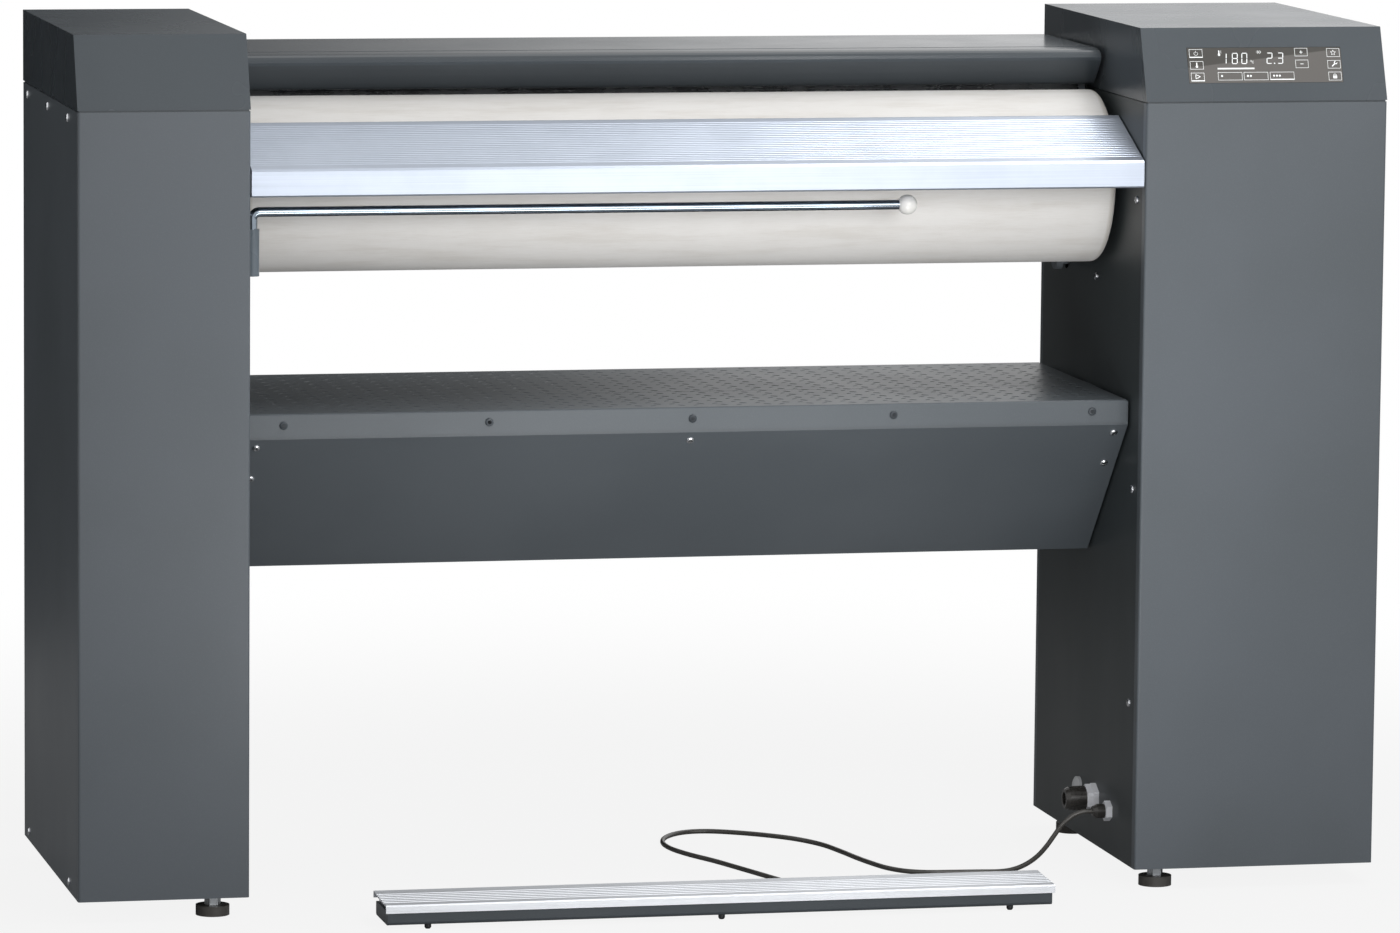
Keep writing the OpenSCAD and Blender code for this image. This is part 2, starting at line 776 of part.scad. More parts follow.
module gear_2d(z, phase) {
    pitch = gear_m * z / 2;
    low = pitch - gear_m * root_share;
    start = max(low, pitch * cos(pressure_a));
    top = pitch + gear_m;
    flank = concat([low], [for (k = [0:flank_steps]) start + k * (top - start) / flank_steps]);
    polygon([for (i = [0:z - 1], k = [0:2 * len(flank) - 1])
        let (up = k < len(flank), r = up ? flank[k] : flank[2 * len(flank) - 1 - k],
            a = phase + i * 360 / z + (up ? -1 : 1) * flank_a(z, max(r, start)))
        r * [cos(a), sin(a)]]);
}

// Turns pieces that are drawn closed on the roller into the shoe's open place
module open_shoe() {
    translate([0, pivot_y, pivot_z]) rotate([-open_a, 0, 0]) translate([0, -pivot_y, -pivot_z]) children();
}

// A smooth curve through the route's points
function spline(p0, p1, p2, p3, t) = let (m1 = spline_share * (p2 - p0), m2 = spline_share * (p3 - p1))
    (2 * t * t * t - 3 * t * t + 1) * p1 + (t * t * t - 2 * t * t + t) * m1
    + (3 * t * t - 2 * t * t * t) * p2 + (t * t * t - t * t) * m2;

function curve(pts) = concat([for (i = [0:len(pts) - 2])
    let (n = max(1, round(norm(pts[i + 1] - pts[i]) / cable_step)))
    for (k = [0:n - 1]) spline(pts[max(i - 1, 0)], pts[i], pts[i + 1], pts[min(i + 2, len(pts) - 1)], k / n)],
    [pts[len(pts) - 1]]);

function tangent(c, i) = i == 0 ? [-1, 0, 0] : i == len(c) - 1 ? [0, -1, 0] : unit(c[i + 1] - c[i - 1]);

// Side vectors that turn as little as they can from ring to ring
function carried(c, i, v) = i == len(c) ? [] :
    let (t = tangent(c, i), s = unit(v - (v * t) * t)) concat([s], carried(c, i + 1, s));

function curve_length(c, i = 0) = i == len(c) - 1 ? 0 : norm(c[i + 1] - c[i]) + curve_length(c, i + 1);

module tube_along(route, r, sides) {
    c = curve(route);
    side = carried(c, 0, [0, 0, 1]);
    rings = len(c);
    points = [for (i = [0:rings - 1], k = [0:sides - 1])
        let (t = tangent(c, i), a = k * 360 / sides)
            c[i] + r * (cos(a) * side[i] + sin(a) * cross(t, side[i]))];
    walls = [for (i = [0:rings - 2], k = [0:sides - 1], half = [0, 1])
        let (a = i * sides + k, b = i * sides + (k + 1) % sides)
        half == 0 ? [a, a + sides, b] : [b, a + sides, b + sides]];
    caps = [[for (k = [0:sides - 1]) k], [for (k = [sides - 1:-1:0]) (rings - 1) * sides + k]];
    polyhedron(points, concat(walls, caps));
    echo(cable_length = curve_length(c), rings = rings);
}

module left_front_panel() {
    color("#5c6269") channel_panel(left_x, left_in, front_y, 0);
}

module left_rear_panel() {
    color("#5c6269") channel_panel(left_x, left_in, back_y, 180);
}

module left_inner_panel() {
    color("#4a5055") difference() {
        side_panel(left_in - sheet);
        inner_panel_holes(left_in - sheet);
    }
}

module left_outer_panel() {
    color("#5c6269") side_panel(left_x);
}

module left_cap() {
    color("#666c73") column_cap(left_x, left_in);
}

module left_base() {
    color("#3a3d40") base_tray(left_x, left_in, feet_x[0]);
}

module right_front_panel() {
    color("#5c6269") channel_panel(right_in, right_x, front_y, 0);
}

module right_rear_panel() {
    color("#5c6269") difference() {
        channel_panel(right_in, right_x, back_y, 180);
        vents((right_in + right_x) / 2);
        translate([0, 0, panel_top - vent_z - 2 * vent_step * vent_count]) vents((right_in + right_x) / 2);
    }
}

module right_inner_panel() {
    color("#4a5055") difference() {
        side_panel(right_in);
        inner_panel_holes(right_in);
        for (h = [[mains_back, mains_z, mains_thread_r], [switch_back, switch_z, switch_thread_r],
            [plug_back, plug_z, plug_r * 2 / 3]])
            bar_x(right_in - cut, right_in + sheet + cut, front_y + h[0], h[1], h[2] + run_fit);
    }
}

module right_outer_panel() {
    color("#5c6269") side_panel(right_x - sheet);
}

module right_cap() {
    color("#666c73") difference() {
        column_cap(right_in, right_x);
        on_slope(right_in + glass_side) translate([-glass_gap, glass_up - glass_gap, -glass_t - cut])
            cube([glass_w + 2 * glass_gap, glass_h + 2 * glass_gap, glass_t + 2 * cut]);
    }
}

module right_base() {
    color("#3a3d40") base_tray(right_in, right_x, feet_x[1]);
}

module left_frame() {
    color("#8a8f94") side_frame(left_plate_x, -1);
}

module right_frame() {
    color("#8a8f94") side_frame(right_plate_x, 1);
}

module roller_bearings() {
    color("#a8adb2") {
        difference() {
            union() {
                bar_x(left_plate_x - bearing_w, left_plate_x + plate_t, roller_y, roller_z, bearing_r);
                bar_x(left_plate_x - bearing_flange_t, left_plate_x, roller_y, roller_z, bearing_flange_r);
            }
            bar_x(left_plate_x - bearing_w - cut, left_plate_x + plate_t + cut, roller_y, roller_z,
                shaft_r + run_fit);
        }
        difference() {
            union() {
                bar_x(right_plate_x, right_plate_end + bearing_w, roller_y, roller_z, bearing_r);
                bar_x(right_plate_end, right_plate_end + bearing_flange_t, roller_y, roller_z,
                    bearing_flange_r);
            }
            bar_x(right_plate_x - cut, right_plate_end + bearing_w + cut, roller_y, roller_z,
                shaft_r + run_fit);
        }
    }
}

module pivot_bushes() {
    flange_r = pivot_r + bush_flange;
    color("#b08d4c") for (x = [left_plate_x, right_plate_x]) difference() {
        union() {
            bar_x(x, x + plate_t, pivot_y, pivot_z, pivot_r + sheet);
            bar_x(x < 0 ? x + plate_t : x - bracket_t, x < 0 ? x + plate_t + bracket_t : x,
                pivot_y, pivot_z, flange_r);
        }
        bar_x(x - bracket_t - cut, x + plate_t + bracket_t + cut, pivot_y, pivot_z, pivot_r + run_fit);
    }
}

module panel_screws() {
    top_z = panel_top - screw_edge;
    low_z = foot_h + screw_edge;
    color("#c8ccd0") {
        for (side = [[left_x, -90], [right_x, 90]]) {
            for (s = upper_screw_shares)
                translate([side[0], front_y + s * column_d, top_z]) rotate([0, side[1], 0]) screw_head();
            for (s = lower_screw_shares)
                translate([side[0], front_y + s * column_d, low_z]) rotate([0, side[1], 0]) screw_head();
        }
        for (side = [[left_in, 90], [right_in, -90]], at = inner_screws)
            translate([side[0], at[0], at[1]]) rotate([0, side[1], 0]) screw_head();
        for (s = lip_screw_shares)
            translate([shelf_x0 + s * (shelf_x1 - shelf_x0), shelf_y0, shelf_z - shelf_lip / 2])
                rotate([90, 0, 0]) screw_head();
        slope = [beam_run, beam_z - beam_bend_z];
        for (s = beam_screw_shares)
            translate([beam_x0 + s[0] * (beam_x1 - beam_x0), beam_y0 + s[1] * slope[0],
                beam_bend_z + s[1] * slope[1]])
                rotate([90 + atan2(beam_run, beam_bend_z - beam_z), 0, 0]) screw_head();
    }
}

module cross_tube() {
    inner = cross_w / 2 - cross_wall;
    reach = cross_w / 2 + cross_flange;
    color("#5a5f64") difference() {
        union() {
            box([left_plate_x + plate_t, cross_y - cross_w / 2, cross_z - cross_w / 2],
                [right_plate_x, cross_y + cross_w / 2, cross_z + cross_w / 2]);
            for (x = [left_plate_x + plate_t, right_plate_x - cross_wall])
                box([x, cross_y - reach, cross_z - reach],
                    [x + cross_wall, cross_y + reach, cross_z + reach]);
        }
        box([left_plate_x, cross_y - inner, cross_z - inner],
            [right_plate_end, cross_y + inner, cross_z + inner]);
    }
}

module shelf_plate() {
    lip_z = shelf_z - shelf_lip;
    y0 = shelf_y0;
    y1 = shelf_y1;
    seam_y = front_y + shelf_seam;
    d = shelf_seam_depth;
    color("#5f656c") side_view(shelf_x0, shelf_x1) polygon([
        [y0, lip_z], [y0, shelf_z - sheet], [y0 + sheet, shelf_z], [seam_y - d, shelf_z],
        [seam_y, shelf_z - d],
        [seam_y + d, shelf_z], [y1 - sheet, shelf_z], [y1, shelf_z - sheet], [y1, lip_z], [y1 - sheet, lip_z],
        [y1 - sheet, shelf_z - sheet], [y0 + sheet, shelf_z - sheet], [y0 + sheet, lip_z]
    ]);
}

module beam_front() {
    y0 = beam_y0;
    y1 = y0 + beam_run;
    y2 = y1 + beam_floor;
    k = sheet * tan(half_share * atan2(beam_run, beam_bend_z - beam_z));
    m = sheet * tan(half_share * atan2(beam_bend_z - beam_z, beam_run));
    color("#5c6269") side_view(beam_x0, beam_x1) polygon([
        [y0, beam_top], [y0, beam_bend_z], [y1, beam_z], [y2, beam_z], [y2, beam_z + sheet],
        [y1 + m, beam_z + sheet], [y0 + sheet, beam_bend_z + k], [y0 + sheet, beam_top]
    ]);
}

module beam_rear() {
    y = beam_y0 + beam_run + beam_floor + fit;
    color("#5c6269") side_view(beam_x0, beam_x1) {
        translate([y, beam_z]) square([sheet, beam_top - beam_z]);
        translate([y, beam_top - sheet]) square([shelf_lip, sheet]);
    }
}

// Shares of the table's depth and of the tread's depth between which their grooves lie
groove_span_shares = [0.1, 0.94];
tread_span_shares = [0.18, 0.82];

// Side view of the feed table: a grooved top on a lip with a flange
function table_top(s) = [front_y + table_in + s * table_d, table_z + table_lip + s * table_rise];

// A point under the table's top, below its wall and a gap
function table_under(s, gap) = table_top(s) - (table_t + gap) * unit([-table_rise, table_d]);

module feed_table() {
    normal = unit([-table_rise, table_d]);
    first = groove_span_shares[0];
    step = (groove_span_shares[1] - first) / table_grooves;
    width = step / 3;
    grooves = [for (i = [0:table_grooves - 1]) let (s = first + i * step)
        each [table_top(s), table_top(s + width / 2) - groove_depth * normal, table_top(s + width)]];
    y0 = front_y + table_in;
    r = table_t / 2;
    under = [table_top(1) - (table_t - groove_depth) * normal, table_under(table_bend_share, 0)];
    color("#d5dbe2") side_view(left_in + table_gap, right_in - table_gap) polygon(concat(
        [[y0 + r, table_z], [y0, table_z + r], [y0, table_z + table_lip - r],
            table_top(table_edge_shares[0])],
        grooves,
        [table_top(table_edge_shares[1]), table_top(1) - groove_depth * normal], under,
        [[y0 + table_t, table_z + table_lip - r], [y0 + table_t, table_z + table_t],
            [y0 + table_flange, table_z + table_t], [y0 + table_flange, table_z]]
    ));
}

module table_brackets() {
    y0 = front_y + table_in + table_t;
    z0 = table_z + table_t + fit;
    end = table_under(bracket_end_share, fit);
    color("#4a4e52") for (x = [left_in, right_in - bracket_t]) {
        side_view(x, x + bracket_t) polygon([
            [y0 + fit, z0], [y0 + table_flange, z0], end - [0, bracket_w / 2], end,
            table_under(table_bend_share, fit), [y0 + fit, table_z + table_lip - table_t]
        ]);
        foot_x = x == left_in ? x + bracket_t / 2 : x + bracket_t - bracket_w;
        box([foot_x, y0 + 2 * fit, z0],
            [foot_x + bracket_w - bracket_t / 2, front_y + table_flange, z0 + bracket_t]);
    }
}

module rod_socket() {
    z0 = linen_z - socket_drop - socket_h;
    color("#4c5560") difference() {
        union() {
            translate([socket_x, linen_y, z0]) cylinder(h = socket_h, r = socket_r);
            box([left_in, linen_y - socket_r / 2, z0], [socket_x, linen_y + socket_r / 2, z0 + socket_h]);
        }
        translate([socket_x, linen_y, z0 + sheet]) cylinder(h = socket_h, r = linen_r + run_fit);
    }
}

module display_glass() {
    color("#4d4844") on_slope(right_in + glass_side) translate([0, glass_up, -glass_t])
        cube([glass_w, glass_h, glass_t]);
}

module control_board() {
    back = -glass_t - board_gap - board_t;
    inset_y = glass_h / 8;
    color("#2f6b4a") on_slope(right_in + glass_side) {
        translate([inset_y, glass_up + inset_y / 2, back])
            cube([glass_w - 2 * inset_y, glass_h - inset_y, board_t]);
        for (x = [2 * inset_y, glass_w - 2 * inset_y], y = [2 * inset_y, glass_h - 2 * inset_y])
            translate([x, glass_up + y, back + board_t]) cylinder(h = board_gap, r = board_post_r);
    }
}

// A sheet metal box with mains terminals and relays, on the right side frame
module control_box() {
    y0 = front_y + 2 * plate_front;
    z0 = plate_z0 + 4 * plate_flange;
    depth = 3 * plate_flange;
    width = column_d / 2 - plate_rear;
    height = width;
    color("#70757a") {
        difference() {
            box([right_plate_end, y0, z0], [right_plate_end + depth, y0 + width, z0 + height]);
            box([right_plate_end + 2 * sheet, y0 + sheet, z0 + sheet],
                [right_plate_end + depth + cut, y0 + width - sheet, z0 + height - sheet]);
        }
        for (i = [0:2]) let (z = z0 + (i + 1) * height / 5)
            box([right_plate_end + 2 * sheet, y0 + 3 * sheet, z],
                [right_plate_end + depth / 2, y0 + width - 3 * sheet, z + height / 8]);
    }
}

module gearmotor() {
    x0 = motor_plate_x + motor_plate_t;
    x1 = x0 + gearbox_l;
    half_w = gearbox_w / 2;
    spacer_y = half_w + 3 * spacer_r;
    color("#777c80") {
        for (y = [-spacer_y, spacer_y], z = [-spacer_y, spacer_r * 3])
            bar_x(right_plate_end, motor_plate_x, roller_y + y, pinion_zc + z, spacer_r);
        difference() {
            union() {
                box([motor_plate_x, roller_y - spacer_y - spacer_r, pinion_zc - spacer_y - spacer_r],
                    [x0, roller_y + spacer_y + spacer_r, pinion_zc + 4 * spacer_r]);
                box([x0, roller_y - half_w, pinion_zc - half_w], [x1, roller_y + half_w, pinion_zc + half_w]);
                side_view(x1, x1 + motor_l) translate([roller_y, pinion_zc]) polygon([
                    for (i = [0:motor_ribs - 1], k = [0:3])
                        let (a = (i + k * half_share * half_share) * 360 / motor_ribs)
                        (k < 2 ? motor_r : motor_r + motor_rib) * [cos(a), sin(a)]]);
            }
            bar_x(motor_plate_x - cut, x0 + gearbox_l / 2, roller_y, pinion_zc, pinion_shaft_r + run_fit);
        }
    }
}

module actuator() {
    top = pivot_z - rod_free;
    x = lever_x + lever_t / 2;
    color("#3f4347") difference() {
        union() {
            translate([x, lever_pin_y, top - actuator_l]) cylinder(h = actuator_l, r = actuator_r);
            // The foot that bolts it to the side frame
            box([right_plate_end, lever_pin_y - 2 * actuator_r, top - actuator_l],
                [x, lever_pin_y - actuator_r / 2, top - actuator_l + actuator_r]);
            box([x - actuator_r / 2, lever_pin_y - 2 * actuator_r, top - actuator_l],
                [x + actuator_r / 2, lever_pin_y, top - actuator_l + actuator_r]);
        }
        translate([x, lever_pin_y, top - actuator_l / 2]) cylinder(h = actuator_l, r = rod_r + run_fit);
    }
}

module hexagon(af, h) {
    cylinder(h = h, r = af / 2 / cos(30), $fn = 6);
}

// Draws along +Z and lays it along -X, out of the right column's inner face
module out_of_panel(back, z) {
    translate([right_in, front_y + back, z]) rotate([0, -90, 0]) children();
}

module mains_gland() {
    step = mains_hex_h / 2;
    lock = mains_hex_h * 2 / 5;
    nose = mains_dome_l / 5;
    ribs = 18;
    dome_r = mains_af / 2;
    color("#d8dadb") out_of_panel(mains_back, mains_z) difference() {
        union() {
            hexagon(mains_af, step);
            translate([0, 0, step]) hexagon(mains_af - sheet, mains_hex_h - step);
            translate([0, 0, step]) cylinder(h = step + mains_dome_l - nose, r = dome_r - sheet);
            for (i = [0:ribs - 1]) rotate(i * 360 / ribs)
                translate([dome_r - 2 * sheet, -sheet / 2, step])
                    cube([sheet * 3 / 2, sheet, step + mains_dome_l - 2 * nose]);
            translate([0, 0, mains_hex_h + mains_dome_l - nose])
                cylinder(h = nose, r1 = dome_r - sheet, r2 = (dome_r + mains_bore_r) / 2, $fn = 32);
            translate([0, 0, -sheet - lock]) cylinder(h = sheet + lock, r = mains_thread_r);
            translate([0, 0, -sheet - lock]) hexagon(mains_af, lock);
        }
        translate([0, 0, -sheet - lock - cut])
            cylinder(h = sheet + lock + mains_hex_h + mains_dome_l + 2 * cut, r = mains_bore_r);
    }
}

module switch_gland() {
    body_r = switch_af * 2 / 5;
    lock = switch_hex_h * 2 / 3;
    nose = switch_dome_l / 3;
    color("#2c2e30") out_of_panel(switch_back, switch_z) {
        hexagon(switch_af, switch_hex_h);
        translate([0, 0, switch_hex_h]) cylinder(h = switch_dome_l - nose, r = body_r);
        translate([0, 0, switch_hex_h + switch_dome_l - nose])
            cylinder(h = nose, r1 = body_r, r2 = body_r * 2 / 3, $fn = 32);
        translate([0, 0, -sheet - lock]) cylinder(h = sheet + lock, r = switch_thread_r);
        translate([0, 0, -sheet - lock]) hexagon(switch_af, lock);
    }
}

module blanking_plug() {
    ball = (plug_r * plug_r + plug_t * plug_t / 4) / plug_t;
    color("#8d9093") out_of_panel(plug_back, plug_z) {
        cylinder(h = plug_t / 2, r = plug_r);
        intersection() {
            translate([0, 0, plug_t - ball]) sphere(ball);
            cylinder(h = plug_t, r = plug_r);
        }
        translate([0, 0, -sheet - plug_t / 2]) cylinder(h = sheet + plug_t / 2, r = plug_r * 2 / 3);
    }
}

// Side view of the foot bar's channel, drawn in by a wall
module channel_2d(t) {
    w = channel_y1 - channel_y0 - 2 * t;
    r = channel_r - t;
    top = t > 0 ? cut : 0;
    translate([channel_y0 + t, channel_z + t]) {
        translate([r, 0]) square([w - 2 * r, channel_h + top]);
        translate([0, r]) square([w, channel_h - r + top]);
        for (y = [r, w - r]) translate([y, r]) circle(r);
    }
}

module bar_channel() {
    color("#3d4246") difference() {
        union() {
            difference() {
                side_view(channel_x0, channel_x1) channel_2d(0);
                side_view(channel_x0 + end_t, channel_x1 - end_t) channel_2d(channel_t);
            }
            for (x = [channel_x0, channel_x1 - end_t - tread_pin_l])
                bar_x(x, x + end_t + tread_pin_l, tread_pin_y, tread_pin_z - tread_pin_r, tread_pin_r);
        }
        translate([cable_end[0], channel_y1 + cut, grommet_z]) rotate([90, 0, 0])
            cylinder(h = 2 * cut + channel_t, r = grommet_r - sheet + run_fit);
    }
}

bar_pad_shares = [0.064, 0.5, 0.935];

module bar_pads() {
    color("#26282a") for (s = bar_pad_shares, y = [channel_y0 + 2 * bar_pad_r, channel_y1 - 2 * bar_pad_r])
        translate([tread_x0 + s * tread_l, y, 0]) {
            cylinder(h = channel_z / 3, r1 = bar_pad_r * 2 / 3, r2 = bar_pad_r, $fn = 24);
            translate([0, 0, channel_z / 3]) cylinder(h = channel_z * 2 / 3, r = bar_pad_r, $fn = 24);
        }
}

// Height of the tread's top at a distance behind its front edge
function tread_z(d) = tread_front_z + (tread_rear_z - tread_front_z) * d / tread_d;

// Leaf springs that push the tread up
module tread_springs() {
    floor_z = channel_z + channel_t;
    y0 = channel_y0 + tread_d / 4;
    y1 = channel_y0 + tread_d / 2;
    top = tread_z(y1 - tread_y0) - tread_t - spring_drop;
    color("#9aa0a6") for (s = spring_shares) let (x = tread_x0 + s * tread_l)
        side_view(x, x + tread_hook * 2) polygon([
            [y0 - 2 * tread_t, floor_z], [y0, floor_z], [y1, top - sheet / 2],
            [y1 + tread_t, top - sheet / 2], [y1 + tread_t, top], [y1 - sheet, top],
            [y0 - sheet, floor_z + sheet], [y0 - 2 * tread_t, floor_z + sheet]
        ]);
}

module bar_switch() {
    x = cable_end[0] - 3 * bar_switch_l;
    y = (channel_y0 + channel_y1) / 2;
    z = channel_z + channel_t;
    color("#1f2123") {
        translate([x, y, z]) cube([bar_switch_l, bar_switch_w, bar_switch_h]);
        translate([x + bar_switch_l / 3, y + bar_switch_w / 3, z + bar_switch_h])
            cube([bar_switch_l / 6, bar_switch_w / 3, sheet]);
    }
}

module cable_relief() {
    color("#202224") translate([cable_end[0], channel_y1, grommet_z]) rotate([-90, 0, 0]) {
        gap = tread_y1 - channel_y1;
        cylinder(h = gap, r = grommet_r);
        translate([0, 0, -channel_t]) cylinder(h = channel_t, r = grommet_r - sheet);
        translate([0, 0, gap])
            cylinder(h = relief_l, r1 = grommet_r - sheet / 2, r2 = cable_d * 2 / 3, $fn = 32);
    }
}

module switch_cable() {
    color("#2b2d2f") tube_along(cable_route, cable_d / 2, cable_sides);
}

module roller_tube() {
    x0 = roller_x0 + disc_in;
    x1 = roller_x1 - disc_in;
    edge = cloth_t + 2 * fit;
    color("#9ba0a5") difference() {
        bar_x(roller_x0 + edge, roller_x1 - edge, roller_y, roller_z, tube_r);
        bar_x(roller_x0, x0, roller_y, roller_z, tube_r - tube_wall);
        bar_x(x0 + disc_t, x1 - disc_t, roller_y, roller_z, tube_r - tube_wall);
        bar_x(x1, roller_x1, roller_y, roller_z, tube_r - tube_wall);
        bar_x(roller_x0, roller_x1, roller_y, roller_z, shaft_r + run_fit);
        for (a = [0:60:300]) rotate_at_roller(a)
            bar_x(roller_x0, roller_x1, roller_y, roller_z + tube_r * half_share, shaft_r);
    }
}

// Turns pieces about the roller's axis
module rotate_at_roller(a) {
    translate([0, roller_y, roller_z]) rotate([a, 0, 0]) translate([0, -roller_y, -roller_z]) children();
}

module roller_shaft() {
    color("#b4b9be") {
        bar_x(left_plate_x - bearing_w - gear_gap, gear_x + gear_w + gear_gap / 2, roller_y, roller_z,
            shaft_r);
        for (x = [roller_x0 + disc_in - disc_t - fit, roller_x1 - disc_in + fit])
            bar_x(x, x + disc_t, roller_y, roller_z, hub_r);
    }
}

// A sleeve with round ends, as half a section: radius and length
module sleeve_2d(r, l, round_r) {
    square([r - round_r, l]);
    translate([0, round_r]) square([r, l - 2 * round_r]);
    for (y = [round_r, l - round_r]) translate([r - round_r, y]) circle(round_r);
}

module roller_padding() {
    edge = cloth_t + fit;
    l = roller_x1 - roller_x0 - 2 * edge;
    color("#e6e2d8") translate([roller_x0 + edge, roller_y, roller_z]) rotate([0, 90, 0])
        rotate_extrude($fn = 96) difference() {
            sleeve_2d(cloth_in_r - fit, l, cloth_round - cloth_t);
            translate([-cut, -cut]) square([padding_in_r + cut, l + 2 * cut]);
        }
}

module roller_cloth() {
    l = roller_x1 - roller_x0;
    color("#ece9e2") translate([roller_x0, roller_y, roller_z]) rotate([0, 90, 0]) rotate_extrude($fn = 96)
        difference() {
            sleeve_2d(roller_r, l, cloth_round);
            translate([0, cloth_t]) sleeve_2d(roller_r - cloth_t, l - 2 * cloth_t, cloth_round - cloth_t);
            translate([-cut, -cut]) square([cloth_hem_r + cut, l + 2 * cut]);
        }
}

module roller_gear() {
    color("#8b7d5a") difference() {
        union() {
            side_view(gear_x, gear_x + gear_w) translate([roller_y, roller_z]) gear_2d(gear_z, 0);
        }
        bar_x(gear_x - cut, gear_x + gear_w + cut, roller_y, roller_z, shaft_r + run_fit);
        // Recesses between hub and rim, on both faces
        for (x = [gear_x - cut, gear_x + gear_w * 2 / 3]) difference() {
            bar_x(x, x + gear_w / 3 + cut, roller_y, roller_z, gear_r - 4 * gear_m);
            bar_x(x - cut, x + gear_w + cut, roller_y, roller_z, hub_r);
        }
    }
}

module drive_pinion() {
    color("#8d9196") {
        side_view(gear_x, gear_x + gear_w) translate([roller_y, pinion_zc]) gear_2d(pinion_z, 180 / pinion_z);
        bar_x(gear_x - gear_gap / 2, motor_plate_x + gearbox_l / 2, roller_y, pinion_zc, pinion_shaft_r);
    }
}

module shoe_plate() {
    color("#b9bdc1") open_shoe() side_view(arm_x0 + arm_t, arm_x1 - arm_t) translate([roller_y, roller_z])
        sector_2d(shoe_r, shoe_r + shoe_t, shoe_rear_a, shoe_front_a);
}

function heater_a(i) = shoe_rear_a + (i + 1) * (shoe_front_a - shoe_rear_a) / (heater_count + 1);

module heating_rods() {
    r = shoe_r + shoe_t + heater_r;
    color("#6b5a50") open_shoe() for (i = [0:heater_count - 1])
        bar_x(arm_x0 + 2 * arm_t, arm_x1 - 2 * arm_t, roller_y + r * cos(heater_a(i)),
            roller_z + r * sin(heater_a(i)), heater_r);
}

module insulation() {
    r = shoe_r + shoe_t + 2 * heater_r + blanket_gap;
    end_a = shoe_front_a - blanket_edge_a;
    color("#c9c5ba") open_shoe() {
        side_view(arm_x0 + arm_t + fit, arm_x1 - arm_t - fit) translate([roller_y, roller_z]) {
            difference() {
                sector_2d(shoe_r + shoe_t + run_fit, r + blanket_t, shoe_rear_a, end_a);
                sector_2d(shoe_r, r, shoe_rear_a + blanket_wall_a, end_a - blanket_wall_a);
            }
        }
    }
}

// Side view of an arm on the closed shoe, about the roller's axis
module arm_2d() {
    sector_2d(shoe_r, shoe_r + arm_h, shoe_rear_a, shoe_front_a);
    translate([pivot_back, -pivot_drop]) circle(arm_boss_r);
    low = shoe_r + arm_boss_r / 2;
    high = shoe_r + arm_h - sheet;
    polygon([low * [cos(shoe_rear_a), sin(shoe_rear_a)],
        high * [cos(-shoe_rear_a / 2), sin(-shoe_rear_a / 2)],
        [pivot_back + arm_boss_r, -pivot_drop], [pivot_back - arm_boss_r, -pivot_drop]]);
}

module shoe_arms() {
    pin_end = lever_x + lever_t + fit;
    color("#82878c") open_shoe() {
        for (x = [arm_x0, arm_x1 - arm_t])
            side_view(x, x + arm_t) translate([roller_y, roller_z]) arm_2d();
        bar_x(left_plate_x - fit, arm_x0 + fit, pivot_y, pivot_z, pivot_r);
        bar_x(arm_x1 - fit, pin_end, pivot_y, pivot_z, pivot_r);
    }
    // The lever is keyed level on its pin
    color("#82878c") {
        side_view(lever_x, lever_x + lever_t) {
            translate([pivot_y, pivot_z]) circle(arm_boss_r);
            translate([pivot_y, pivot_z - lever_half]) square([lever_l, 2 * lever_half]);
            translate([lever_pin_y, pivot_z]) circle(lever_half);
        }
        bar_x(lever_x - fork_half / 2, lever_x + lever_t + fork_half / 2, lever_pin_y, pivot_z, lever_pin_r);
    }
}

module hood_top() {
    y0 = groove_y + groove_w / 2;
    w = hood_y1 - y0;
    module bend(t) {
        r = hood_bend - t;
        over = t > 0 ? cut : 0;
        span = w - t + over;
        drop = hood_return - t + over;
        translate([y0 - over, hood_z - hood_return - over]) {
            square([span - r, drop]);
            intersection() {
                square([span, drop]);
                union() {
                    square([span, drop - r]);
                    translate([span - r, drop - r]) circle(r);
                }
            }
        }
    }
    color("#646a71") side_view(hood_x0, hood_x1) {
        difference() {
            bend(0);
            bend(sheet);
        }
        // The edge that is folded down into the groove
        translate([y0, hood_z - 2 * sheet]) square([sheet, 2 * sheet]);
    }
}

module hood_rear() {
    y = hood_y1 - sheet;
    top = hood_z - hood_return - fit;
    lip = [y - hood_lip, hood_bottom_z + hood_lip_rise];
    color("#5c6269") {
        side_view(hood_x0, hood_x1) translate([y, hood_bottom_z]) square([sheet, top - hood_bottom_z]);
        side_view(arm_x0 + arm_t + fit, arm_x1 - arm_t - fit) polygon([[y + sheet / 2, hood_bottom_z], lip,
            lip + [0, sheet], [y + sheet / 2, hood_bottom_z + sheet]]);
    }
}

module hood_cheeks() {
    y0 = groove_y + groove_w / 2;
    y1 = hood_y1 - sheet - fit;
    top = hood_z - sheet - fit;
    color("#5c6269") for (side = [0, 1]) {
        x = side == 0 ? hood_x0 : hood_x1 - sheet;
        side_view(x, x + sheet) difference() {
            polygon([[y0, roller_z], [y0, top], [y1 - hood_bend, top], [y1, top - hood_bend],
                [y1, hood_bottom_z], [y1 - hood_lip, hood_bottom_z + hood_lip_rise]]);
            translate([rest_y, rest_z]) circle(shoe_r + shoe_t);
            translate([y0 - cut, roller_z - cut]) square([pivot_back / 2, roller_r]);
        }
        pin_x = side == 0 ? hood_x0 : hood_x1 - sheet - guard_pin_l;
        bar_x(pin_x, pin_x + guard_pin_l + sheet, guard_pin_y, guard_pin_z, guard_pin_r);
    }
}

